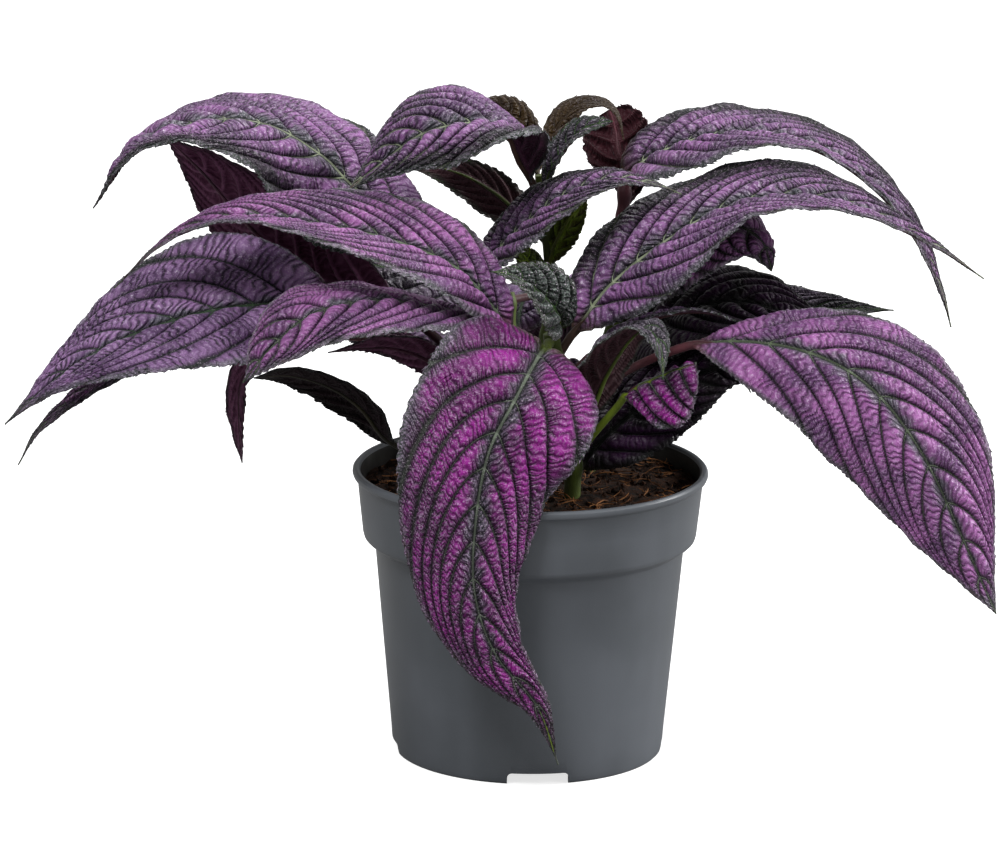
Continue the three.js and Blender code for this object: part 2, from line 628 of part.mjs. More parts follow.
function turned(section, sides) {
  const geometry = new THREE.LatheGeometry(section.map((p) => new THREE.Vector2(p[0], p[1])), sides);
  geometry.rotateX(Math.PI / 2);
  return geometry;
}

function potBody() {
  let pot = solidFrom(turned(potSection(), POT_SIDES));
  const notch = new THREE.Shape([
    new THREE.Vector2(-NOTCH_WIDTH / 2 - NOTCH_SLOPE, -1),
    new THREE.Vector2(NOTCH_WIDTH / 2 + NOTCH_SLOPE, -1),
    new THREE.Vector2(NOTCH_WIDTH / 2, NOTCH_HEIGHT),
    new THREE.Vector2(-NOTCH_WIDTH / 2, NOTCH_HEIGHT),
  ]);
  for (let i = 0; i < NOTCH_COUNT; i += 1) {
    const cutter = new THREE.ExtrudeGeometry(notch, { depth: 12, bevelEnabled: false });
    cutter.rotateX(Math.PI / 2);
    cutter.translate(0, 3 - POT_FOOT_RADIUS + 6, 0);
    cutter.rotateZ(THREE.MathUtils.degToRad(NOTCH_TURN) + (i / NOTCH_COUNT) * 2 * Math.PI);
    pot = pot.subtract(solidFrom(cutter));
  }
  for (let i = 0; i < DRAIN_HOLE_COUNT; i += 1) {
    const turn = ((i + 0.5) / DRAIN_HOLE_COUNT) * 2 * Math.PI;
    const cutter = new THREE.CylinderGeometry(DRAIN_HOLE_RADIUS, DRAIN_HOLE_RADIUS, 6, 8);
    cutter.rotateX(Math.PI / 2);
    cutter.translate(
      DRAIN_HOLE_CIRCLE * Math.cos(turn),
      DRAIN_HOLE_CIRCLE * Math.sin(turn),
      (POT_FLOOR_UNDERSIDE + POT_FLOOR_TOP) / 2,
    );
    pot = pot.subtract(solidFrom(cutter));
  }
  return pot;
}

// The height of the growing medium's top: a low mound with lumps, drawn down a little at the wall
function soilTop(x, y) {
  const out = Math.hypot(x, y) / POT_COLLAR_TOP_RADIUS;
  const lumps = Math.sin(0.31 * x + 1.3) * Math.cos(0.27 * y) + 0.6 * Math.sin(0.16 * x - 0.22 * y + 2.1);
  return SOIL_LEVEL + SOIL_MOUND * (1 - out * out) + SOIL_LUMP * lumps;
}

function soilBody() {
  const clear = POT_WALL + GAP;
  const floor = POT_FLOOR_TOP + GAP;
  const edge = THREE.MathUtils.mapLinear(
    SOIL_LEVEL,
    POT_COLLAR_FOOT_HEIGHT,
    POT_HEIGHT - POT_LIP_HEIGHT,
    POT_COLLAR_FOOT_RADIUS - clear,
    POT_COLLAR_TOP_RADIUS - clear,
  ) - 0.6;
  const section = [
    [0, floor],
    [POT_FOOT_RADIUS - clear - 2.4, floor],
    [POT_FOOT_RADIUS - clear, 9],
    [POT_BODY_TOP_RADIUS - clear - 0.1, POT_BODY_TOP_HEIGHT + 1],
    [POT_COLLAR_FOOT_RADIUS - clear - 0.1, POT_COLLAR_FOOT_HEIGHT + 0.4],
    [edge, SOIL_LEVEL],
  ];
  for (let ring = SOIL_RINGS - 1; ring >= 0; ring -= 1) {
    section.push([(edge * ring) / SOIL_RINGS, SOIL_LEVEL]);
  }
  const geometry = turned(section, POT_SIDES);
  const position = geometry.attributes.position;
  for (let i = 0; i < position.count; i += 1) {
    if (Math.abs(position.getZ(i) - SOIL_LEVEL) < 0.01) {
      position.setZ(i, soilTop(position.getX(i), position.getY(i)));
    }
  }
  return solidFrom(geometry);
}

// The plant put together

const plant = new THREE.Group();

function add(name, geometry, colour, roughness) {
  geometry.computeVertexNormals();
  const material = new THREE.MeshStandardMaterial({ color: colour, roughness, metalness: 0 });
  const mesh = new THREE.Mesh(geometry, material);
  mesh.name = name;
  plant.add(mesh);
}

add('pot', geometryFrom(potBody()), COLOURS.pot, 0.45);

let soil = soilBody();
for (const stem of Object.values(STEMS)) {
  soil = soil.subtract(solidFrom(stemBody(stem, GAP)));
}
add('growing_medium', geometryFrom(soil), COLOURS.soil, 1);

for (const [name, stem] of Object.entries(STEMS)) {
  add(name, stemBody(stem, 0), COLOURS.stem, 0.6);
}
for (const [name, leaf] of Object.entries(LEAVES)) {
  let body = solidFrom(leafBody(leaf));
  for (const stem of Object.values(STEMS)) {
    body = body.subtract(solidFrom(stemBody(stem, GAP)));
  }
  add(name, geometryFrom(body), COLOURS[leaf.tone ?? 'mauve'], 0.5);
}

export default plant;
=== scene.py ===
# %% [markdown]
# # A potted persian shield
# A young foliage plant in a grey plastic grow pot: five short stems and thirty-seven long pointed leaves.
# The leaves are purple with a silver sheen painted into their colour, puckered between dark side veins, and
# toothed along the margin.
# The imported model comes in first, as a fixed frame: every piece here takes the place of one of its solids.

# %% Load the imported model
import math
import random

import bpy
import numpy as np
from mathutils import Matrix, Vector, noise


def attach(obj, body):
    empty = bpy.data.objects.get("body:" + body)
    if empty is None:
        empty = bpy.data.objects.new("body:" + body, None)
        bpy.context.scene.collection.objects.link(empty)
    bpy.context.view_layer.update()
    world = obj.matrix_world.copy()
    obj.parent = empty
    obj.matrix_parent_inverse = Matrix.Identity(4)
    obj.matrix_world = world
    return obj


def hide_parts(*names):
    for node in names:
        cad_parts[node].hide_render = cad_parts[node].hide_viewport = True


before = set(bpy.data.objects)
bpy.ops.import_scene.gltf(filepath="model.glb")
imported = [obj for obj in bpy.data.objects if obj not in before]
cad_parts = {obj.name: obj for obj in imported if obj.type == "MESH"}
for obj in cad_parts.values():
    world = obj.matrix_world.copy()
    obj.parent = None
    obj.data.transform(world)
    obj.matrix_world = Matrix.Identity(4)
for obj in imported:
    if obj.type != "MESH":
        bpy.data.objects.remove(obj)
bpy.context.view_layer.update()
scene = bpy.context.scene
MM = 0.001
print("nodes in the frame:", len(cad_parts))

# %% [markdown]
# ## Camera
# A long lens from a little above the table, as for a catalogue picture. The place, the lens and the slight
# roll were worked out from the pot: its rim is an ellipse whose height gives the elevation, and the rim and
# the foot together give the distance. The camera matrix is built from its three axes, which is clearer than
# angles.

# %% Camera
CAMERA_DISTANCE = 2.3
CAMERA_ELEVATION = math.radians(14.4)
CAMERA_ROLL = math.radians(-0.62)
CAMERA_TARGET = Vector((-0.0104, 0.0, 0.111))

camera_data = bpy.data.cameras.new("camera")
camera_data.lens = 245.9
camera_data.sensor_width = 36.0
camera = bpy.data.objects.new("camera", camera_data)
scene.collection.objects.link(camera)
view_axis = Vector((0.0, math.cos(CAMERA_ELEVATION), -math.sin(CAMERA_ELEVATION)))
level_right = Vector((1.0, 0.0, 0.0))
level_up = level_right.cross(view_axis)
camera_right = math.cos(CAMERA_ROLL) * level_right - math.sin(CAMERA_ROLL) * level_up
camera_up = math.sin(CAMERA_ROLL) * level_right + math.cos(CAMERA_ROLL) * level_up
turn = Matrix((camera_right, camera_up, -view_axis)).transposed().to_4x4()
camera.matrix_world = Matrix.Translation(CAMERA_TARGET - CAMERA_DISTANCE * view_axis) @ turn
scene.camera = camera
print("camera at", tuple(round(v, 3) for v in camera.matrix_world.translation))

# %% [markdown]
# ## Small helpers
# An operator works on whatever is selected, so each step first clears the selection and names its object.

# %% Selecting, applying modifiers, finishing a piece
def only(piece):
    for other in bpy.context.selected_objects:
        other.select_set(False)
    piece.select_set(True)
    bpy.context.view_layer.objects.active = piece


def apply_modifier(piece, kind, **settings):
    only(piece)
    modifier = piece.modifiers.new(kind.lower(), kind)
    for name, value in settings.items():
        setattr(modifier, name, value)
    bpy.ops.object.modifier_apply(modifier=modifier.name)


def finish_piece(piece, node, angle=40):
    only(piece)
    bpy.ops.object.transform_apply(location=True, rotation=True, scale=True)
    bpy.ops.object.shade_smooth_by_angle(angle=math.radians(angle))
    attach(piece, "root")
    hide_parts(node)


def smooth_step(value):
    value = np.clip(value, 0.0, 1.0)
    return value * value * (3.0 - 2.0 * value)


# %% [markdown]
# ## Building materials from nodes
# Every finish is a Principled shader fed by a few masks. A mask is a node's output, and masks can be added,
# subtracted and multiplied like numbers, so that a material reads from top to bottom like a recipe. Colours
# are written as they look on screen, from 0 to 255, and turned into the linear values that the renderer
# works in.

# %% Node helpers
def paint(red, green, blue):
    def linear(value):
        value /= 255.0
        return value / 12.92 if value <= 0.04045 else ((value + 0.055) / 1.055) ** 2.4

    return (linear(red), linear(green), linear(blue), 1.0)


class Mask:
    """A value in a node tree. To add, subtract or multiply masks adds the Math node that does it."""

    def __init__(self, socket):
        self.socket = socket
        self.tree = socket.id_data

    def __add__(self, other):
        return maths("ADD", self, other)

    def __sub__(self, other):
        return maths("SUBTRACT", self, other)

    def __rsub__(self, other):
        return maths("SUBTRACT", other, self)

    def __mul__(self, other):
        return maths("MULTIPLY", self, other)


def put(socket, value):
    """Links a mask into a socket, or sets the socket to a plain value."""
    if isinstance(value, Mask):
        value.tree.links.new(value.socket, socket)
    else:
        socket.default_value = value


def maths(operation, first, second=0.0):
    tree = next(value.tree for value in (first, second) if isinstance(value, Mask))
    node = tree.nodes.new("ShaderNodeMath")
    node.operation = operation
    put(node.inputs[0], first)
    put(node.inputs[1], second)
    return Mask(node.outputs[0])


def largest(first, second):
    return maths("MAXIMUM", first, second)


def ramp(mask, low, high, bottom=0.0, top=1.0):
    """A smooth step: bottom where the mask is at low, top where it is at high."""
    node = mask.tree.nodes.new("ShaderNodeMapRange")
    node.interpolation_type = "SMOOTHSTEP"
    names = ("Value", "From Min", "From Max", "To Min", "To Max")
    for name, value in zip(names, (mask, low, high, bottom, top)):
        put(node.inputs[name], value)
    return Mask(node.outputs[0])


def blend(share, first, second):
    """The first colour where the share is 0, the second where it is 1."""
    node = share.tree.nodes.new("ShaderNodeMix")
    node.data_type = "RGBA"
    for number, value in ((0, share), (6, first), (7, second)):
        put(node.inputs[number], value)
    return Mask(node.outputs[2])


def noise_value(tree, scale, detail=2.0, stretch=None):
    """Noise on Object coordinates; scale is in patches per metre, stretch squeezes it along an axis."""
    place = tree.nodes.new("ShaderNodeTexCoord").outputs["Object"]
    if stretch is not None:
        mapping = tree.nodes.new("ShaderNodeMapping")
        tree.links.new(place, mapping.inputs["Vector"])
        mapping.inputs["Scale"].default_value = stretch
        place = mapping.outputs["Vector"]
    node = tree.nodes.new("ShaderNodeTexNoise")
    tree.links.new(place, node.inputs["Vector"])
    node.inputs["Scale"].default_value = scale
    node.inputs["Detail"].default_value = detail
    return Mask(node.outputs["Fac"])


def new_material(name, **constants):
    material = bpy.data.materials.new(name)
    material.use_nodes = True
    tree = material.node_tree
    shader = tree.nodes["Principled BSDF"]
    for socket, value in constants.items():
        shader.inputs[socket.replace("_", " ")].default_value = value
    return material, tree, shader


def bump_into(shader, height, strength, distance):
    node = height.tree.nodes.new("ShaderNodeBump")
    node.inputs["Strength"].default_value = strength
    node.inputs["Distance"].default_value = distance
    put(node.inputs["Height"], height)
    put(shader.inputs["Normal"], Mask(node.outputs["Normal"]))


# %% [markdown]
# ## Finish of the pot
# The pot is thin recycled plastic, moulded with a soft satin skin. It needs three things: a grey that is
# not quite even, a gloss that changes a little from place to place, and a skin texture too fine to read as
# bumps.

# %% Pot plastic
def pot_plastic():
    material, tree, shader = new_material("pot_plastic", Roughness=0.36, Specular_IOR_Level=0.5)
    cloud = noise_value(tree, 28.0, 3.0)
    streak = noise_value(tree, 60.0, 2.0, (1.0, 1.0, 0.12))
    mixed = cloud * 0.6 + streak * 0.4
    colour = blend(ramp(mixed, 0.35, 0.65), paint(75, 79, 84), paint(86, 90, 96))
    put(shader.inputs["Base Color"], colour)
    put(shader.inputs["Roughness"], ramp(mixed, 0.3, 0.7, 0.32, 0.42))
    bump_into(shader, noise_value(tree, 2600.0, 1.0), 0.12, 0.0002)
    return material


def pot_inner_shade():
    """The inner wall above the soil, painted dark in mottled patches as the shade inside the pot."""
    material, tree, shader = new_material("pot_inner_shade", Roughness=0.6, Specular_IOR_Level=0.2)
    # Painted shade: two dark greys, mottled by noise, stand in for the shadow inside the pot.
    shade_mottle = ramp(noise_value(tree, 90.0, 3.0), 0.35, 0.65)
    put(shader.inputs["Base Color"], blend(shade_mottle, paint(24, 22, 20), paint(46, 44, 42)))
    return material


# %% [markdown]
# ## The pot
# A grow pot is one thin shell turned about its axis. A ring of vertices is extruded along the section: from
# the pad under the floor, out to the foot ring, up the wall, over the rolled lip and back down the inside.
# Notches in the foot and drain holes in the floor are then cut with booleans, and a small bevel rounds what
# is left. The inner wall above the soil gets a dark finish, which is painted shade.

# %% Turn the pot's section
POT_SIDES = 160
POT_SECTION = [
    # pad, floor and foot ring
    (18.0, 0.0), (18.8, 0.6), (19.0, 4.2), (42.9, 4.2), (43.7, 0.3), (44.0, 0.0), (44.9, 0.0), (45.5, 0.6),
    # wall, step and collar
    (45.9, 2.4), (46.3, 8.0), (49.3, 40.0), (52.2, 71.5), (52.6, 72.1), (55.2, 73.9), (56.0, 74.7),
    (56.35, 76.0), (57.4, 85.5), (58.3, 94.2),
    # lip
    (58.8, 94.9), (59.7, 95.5), (60.0, 96.3), (59.9, 97.2), (59.3, 97.9), (58.6, 98.0), (57.8, 97.7),
    (57.3, 96.9),
    # inner wall and floor
    (57.0, 94.2), (55.1, 77.0), (54.4, 75.4), (51.4, 73.2), (50.9, 71.8), (45.1, 8.4), (44.3, 6.4),
    (42.8, 5.6),
]


def ring_in_edit_mode(section, sides):
    radius, height = section[0]
    bpy.ops.mesh.primitive_circle_add(vertices=sides, radius=radius * MM, location=(0.0, 0.0, height * MM))
    bpy.ops.object.transform_apply(location=True)
    bpy.ops.object.mode_set(mode="EDIT")
    bpy.ops.mesh.select_all(action="SELECT")
    bpy.ops.mesh.edge_face_add()
    bpy.ops.mesh.select_mode(type="EDGE")
    bpy.ops.mesh.region_to_loop()
    for (old_radius, old_height), (new_radius, new_height) in zip(section, section[1:]):
        bpy.ops.mesh.extrude_edges_move(
            TRANSFORM_OT_translate={"value": (0.0, 0.0, (new_height - old_height) * MM)}
        )
        scale = new_radius / old_radius
        bpy.ops.transform.resize(value=(scale, scale, 1.0), center_override=(0.0, 0.0, new_height * MM))
    bpy.ops.mesh.edge_face_add()
    bpy.ops.mesh.select_all(action="SELECT")
    bpy.ops.mesh.normals_make_consistent(inside=False)
    bpy.ops.object.mode_set(mode="OBJECT")
    return bpy.context.object


bpy.ops.object.select_all(action="DESELECT")
pot = ring_in_edit_mode(POT_SECTION, POT_SIDES)
pot.name = "grow_pot"
print("pot rings:", len(POT_SECTION), "vertices:", len(pot.data.vertices))

# %% Cut the foot notches and the drain holes
NOTCH_TURN = math.radians(4.5)
NOTCH_SIZE = (20.6 * MM, 14.0 * MM, 5.8 * MM)
NOTCH_PLACE = (0.0, -45.0 * MM, 1.0 * MM)
NOTCHES = 4
DRAIN_HOLES = 8
DRAIN_CIRCLE = 30.0
# Where the inner wall is painted dark as shade: its span of heights and its least radius, in millimetres.
SHADED_WALL = (74.0, 97.2)
SHADED_FROM = 50.0


def cut_with(piece, cutter):
    apply_modifier(piece, "BOOLEAN", operation="DIFFERENCE", solver="EXACT", object=cutter)
    bpy.data.objects.remove(cutter, do_unlink=True)


for number in range(NOTCHES):
    bpy.ops.mesh.primitive_cube_add(size=1.0)
    notch = bpy.context.object
    notch.scale = NOTCH_SIZE
    notch.location = NOTCH_PLACE
    bpy.ops.object.transform_apply(location=True, scale=True)
    apply_modifier(notch, "BEVEL", width=1.6 * MM, segments=5, limit_method="ANGLE")
    notch.rotation_euler = (0.0, 0.0, NOTCH_TURN + number / NOTCHES * 2 * math.pi)
    only(notch)
    bpy.ops.object.transform_apply(rotation=True)
    cut_with(pot, notch)
for number in range(DRAIN_HOLES):
    angle = (number + 0.5) / DRAIN_HOLES * 2 * math.pi
    place = (DRAIN_CIRCLE * MM * math.cos(angle), DRAIN_CIRCLE * MM * math.sin(angle), 5.0 * MM)
    bpy.ops.mesh.primitive_cylinder_add(vertices=32, radius=3.0 * MM, depth=8.0 * MM, location=place)
    cut_with(pot, bpy.context.object)
apply_modifier(
    pot, "BEVEL", width=0.25 * MM, segments=2, limit_method="ANGLE", angle_limit=math.radians(32)
)
pot.data.materials.clear()
pot.data.materials.append(pot_plastic())
pot.data.materials.append(pot_inner_shade())
# Faces of the inner wall above the soil take the dark finish, which is painted shade.
for face in pot.data.polygons:
    out = Vector((face.center.x, face.center.y, 0.0)) / MM
    inner = out.length > SHADED_FROM and face.normal.dot(out) < 0.0
    if inner and SHADED_WALL[0] < face.center.z / MM < SHADED_WALL[1]:
        face.material_index = 1
finish_piece(pot, "pot", 30)
print("pot faces after the cuts:", len(pot.data.polygons))

# %% [markdown]
# ## The growing medium
# Peat with coir: a dark, crumbly fill just under the lip. A fine grid is moved onto a disc for the top,
# pushed up and down by noise, and its border is extruded down the inside of the pot. Crumbs and rust-brown
# strands of coir then lie on it. Four of each are modelled and copied many times, each copy with its own
# turn and size.

# %% Height of the soil's top
SOIL_EDGE = 56.3
SOIL_DOME = 58.4
SOIL_LEVEL = 91.5
LAST_CRUMB = 56.6
SOIL_SIDES = ((-14.5, 54.6), (-4.0, 50.5), (-62.0, 44.2), (-5.0, 40.0))


def soil_height(x, y):
    out = math.hypot(x, y) / SOIL_DOME
    lumps = math.sin(0.31 * x + 1.3) * math.cos(0.27 * y) + 0.6 * math.sin(0.16 * x - 0.22 * y + 2.1)
    crumb = noise.noise(Vector((x * 0.35, y * 0.35, 3.0)))
    crumb += 0.5 * noise.noise(Vector((x * 0.9, y * 0.9, 9.0)))
    return SOIL_LEVEL + 2.5 * (1.0 - out * out) + 0.9 * lumps + 0.75 * crumb


def disc_from_square(x, y):
    """Moves a point of a square of side 2 onto the disc of radius 1."""
    return x * math.sqrt(1.0 - y * y / 2.0), y * math.sqrt(1.0 - x * x / 2.0)


bpy.ops.object.select_all(action="DESELECT")
bpy.ops.mesh.primitive_grid_add(x_subdivisions=110, y_subdivisions=110, size=2.0)
soil = bpy.context.object
soil.name = "peat_and_coir"
for vertex in soil.data.vertices:
    x, y = disc_from_square(vertex.co.x, vertex.co.y)
    x, y = x * SOIL_EDGE, y * SOIL_EDGE
    vertex.co = (x * MM, y * MM, soil_height(x, y) * MM)
bpy.ops.object.mode_set(mode="EDIT")
bpy.ops.mesh.select_all(action="SELECT")
bpy.ops.mesh.select_mode(type="EDGE")
bpy.ops.mesh.region_to_loop()
radius = SOIL_EDGE
for drop, next_radius in SOIL_SIDES:
    scale = next_radius / radius
    radius = next_radius
    bpy.ops.mesh.extrude_edges_move(TRANSFORM_OT_translate={"value": (0.0, 0.0, drop * MM)})
    bpy.ops.transform.resize(value=(scale, scale, 1.0), center_override=(0.0, 0.0, 0.0))
bpy.ops.mesh.edge_face_add()
bpy.ops.mesh.select_all(action="SELECT")
bpy.ops.mesh.normals_make_consistent(inside=False)
bpy.ops.object.mode_set(mode="OBJECT")
print("soil faces:", len(soil.data.polygons), "lowest", round(min(v.co.z for v in soil.data.vertices), 4))


# %% Crumbs and coir strands
def mesh_arrays(piece):
    places = np.array([vertex.co[:] for vertex in piece.data.vertices])
    faces = [tuple(face.vertices) for face in piece.data.polygons]
    bpy.data.objects.remove(piece, do_unlink=True)
    return places, faces


def crumb_shape(seed):
    bpy.ops.mesh.primitive_ico_sphere_add(subdivisions=2, radius=1.0)
    crumb = bpy.context.object
    for vertex in crumb.data.vertices:
        vertex.co *= 0.75 + 0.7 * noise.noise(vertex.co * 1.3 + Vector((seed * 7.0, 0.0, 0.0)))
    return mesh_arrays(crumb)


def strand_shape(seed):
    bpy.ops.mesh.primitive_cylinder_add(vertices=5, radius=1.0, depth=1.0)
    strand = bpy.context.object
    bpy.ops.object.mode_set(mode="EDIT")
    bpy.ops.mesh.select_all(action="SELECT")
    bpy.ops.mesh.bisect(plane_co=(0.0, 0.0, 0.0), plane_no=(0.0, 0.0, 1.0))
    for share in (-0.375, -0.25, -0.125, 0.125, 0.25, 0.375):
        bpy.ops.mesh.select_all(action="SELECT")
        bpy.ops.mesh.bisect(plane_co=(0.0, 0.0, share), plane_no=(0.0, 0.0, 1.0))
    bpy.ops.object.mode_set(mode="OBJECT")
    places, faces = mesh_arrays(strand)
    along = places[:, 2].copy()
    thin = 1.0 - 1.2 * along**2
    curl = np.sin(along * (3.0 + seed) + seed)
    made = np.stack([along, 0.12 * curl + places[:, 0] * thin * 0.02, places[:, 1] * thin * 0.02], 1)
    made[:, 2] += 0.05 * np.cos(along * 5.0 + seed)
    return made, faces


def scatter(shapes, count, sizes, lift, seed, flat):
    """Lays copies of the shapes on the soil and returns one object that holds them all."""
    chance = random.Random(seed)
    places, faces = [], []
    start = 0
    for _ in range(count):
        shape, shape_faces = shapes[chance.randrange(len(shapes))]
        out = SOIL_EDGE * 0.96 * math.sqrt(chance.random())
        angle = chance.uniform(0.0, 2.0 * math.pi)
        x, y = out * math.cos(angle), out * math.sin(angle)
        size = chance.uniform(*sizes)
        roll = Matrix.Rotation(chance.uniform(-flat, flat), 3, "X")
        tilt = roll @ Matrix.Rotation(chance.uniform(-flat, flat), 3, "Y")
        spin = np.array(Matrix.Rotation(chance.uniform(0.0, 2.0 * math.pi), 3, "Z") @ tilt)
        moved = shape @ spin.T * size + np.array([x, y, soil_height(x, y) + lift * size])
        far = np.hypot(moved[:, 0], moved[:, 1]).max()
        if far > LAST_CRUMB:
            moved[:, :2] *= LAST_CRUMB / far
        places.append(moved * MM)
        faces.extend(tuple(index + start for index in face) for face in shape_faces)
        start += len(shape)
    mesh = bpy.data.meshes.new("scatter")
    mesh.from_pydata(np.concatenate(places).tolist(), [], faces)
    made = bpy.data.objects.new("scatter", mesh)
    scene.collection.objects.link(made)
    return made


crumbs = scatter([crumb_shape(seed) for seed in range(4)], 620, (0.4, 1.5), 0.2, 11, 1.5)
strands = scatter([strand_shape(seed) for seed in range(4)], 420, (3.5, 11.0), 0.07, 12, 0.35)
print("crumbs:", len(crumbs.data.polygons), "strands:", len(strands.data.polygons))


# %% Soil finish
def peat():
    material, tree, shader = new_material("peat", Roughness=0.95, Specular_IOR_Level=0.2)
    patch = noise_value(tree, 260.0, 4.0)
    fleck = noise_value(tree, 1400.0, 2.0)
    colour = blend(ramp(patch, 0.35, 0.7), paint(14, 8, 5), paint(48, 28, 16))
    colour = blend(ramp(fleck, 0.58, 0.72, 0.0, 0.7), colour, paint(90, 50, 28))
    put(shader.inputs["Base Color"], colour)
    bump_into(shader, fleck, 0.8, 0.0006)
    return material


def coir():
    material, tree, shader = new_material("coir", Roughness=0.85, Specular_IOR_Level=0.25)
    shade = noise_value(tree, 120.0, 2.0)
    colour = blend(ramp(shade, 0.35, 0.65), paint(64, 38, 22), paint(146, 98, 58))
    put(shader.inputs["Base Color"], colour)
    bump_into(shader, noise_value(tree, 3000.0, 1.0), 0.4, 0.0002)
    return material


soil.data.materials.append(peat())
crumbs.data.materials.append(soil.data.materials[0])
strands.data.materials.append(coir())
only(soil)
crumbs.select_set(True)
strands.select_set(True)
bpy.ops.object.join()
finish_piece(soil, "growing_medium", 60)
print("soil with crumbs and strands:", len(soil.data.polygons), "faces")

# %% [markdown]
# ## Where the stems and leaves go
# These are the same routes as in the solid model, in millimetres. A stem has its line, its radii and the
# heights of its leaf nodes. A leaf has the line of its stalk and midrib from the stem to the tip, its full
# width and the length of its stalk. Foot and point say how blunt its two ends are: a small number is blunt.
# Faces are the directions that its upper face looks in from foot to tip, and left and right are the angles
# at which each half leaves the midrib and reaches the margin. Tone names its colours, gap is the distance
# between two side veins, sweep is how far they bend towards the tip, and cell is the size of its mesh
# cells, which are smaller where the leaf faces the camera. What most leaves share stands in USUAL_LEAF.

# %% Routes
STEMS = {
    "stem_front": {
        "line": [[13, -20, 80], [14, -21, 104], [11, -22, 128], [6, -23, 150]],
        "radii": [3.1, 2.0],
        "nodes": [104, 113, 134, 141, 148],
    },
    "stem_centre": {
        "line": [[-2, 14, 80], [4, 14, 125], [6, 13, 160], [2, 12, 196]],
        "radii": [2.9, 1.7],
        "nodes": [140, 178, 188],
    },
    "stem_left": {
        "line": [[-14, 2, 80], [-20, 3, 115], [-23, 4, 145], [-24, 4, 166]],
        "radii": [3.0, 1.8],
        "nodes": [112, 128, 146, 160],
    },
    "stem_right": {
        "line": [[17, 12, 80], [24, 20, 120], [29, 27, 155], [31, 31, 190]],
        "radii": [3.0, 1.8],
        "nodes": [118, 136, 158, 178, 186],
    },
    "stem_back": {
        "line": [[-4, 30, 80], [-6, 38, 115], [-8, 44, 148]],
        "radii": [2.9, 1.9],
        "nodes": [108, 124, 144],
    },
}

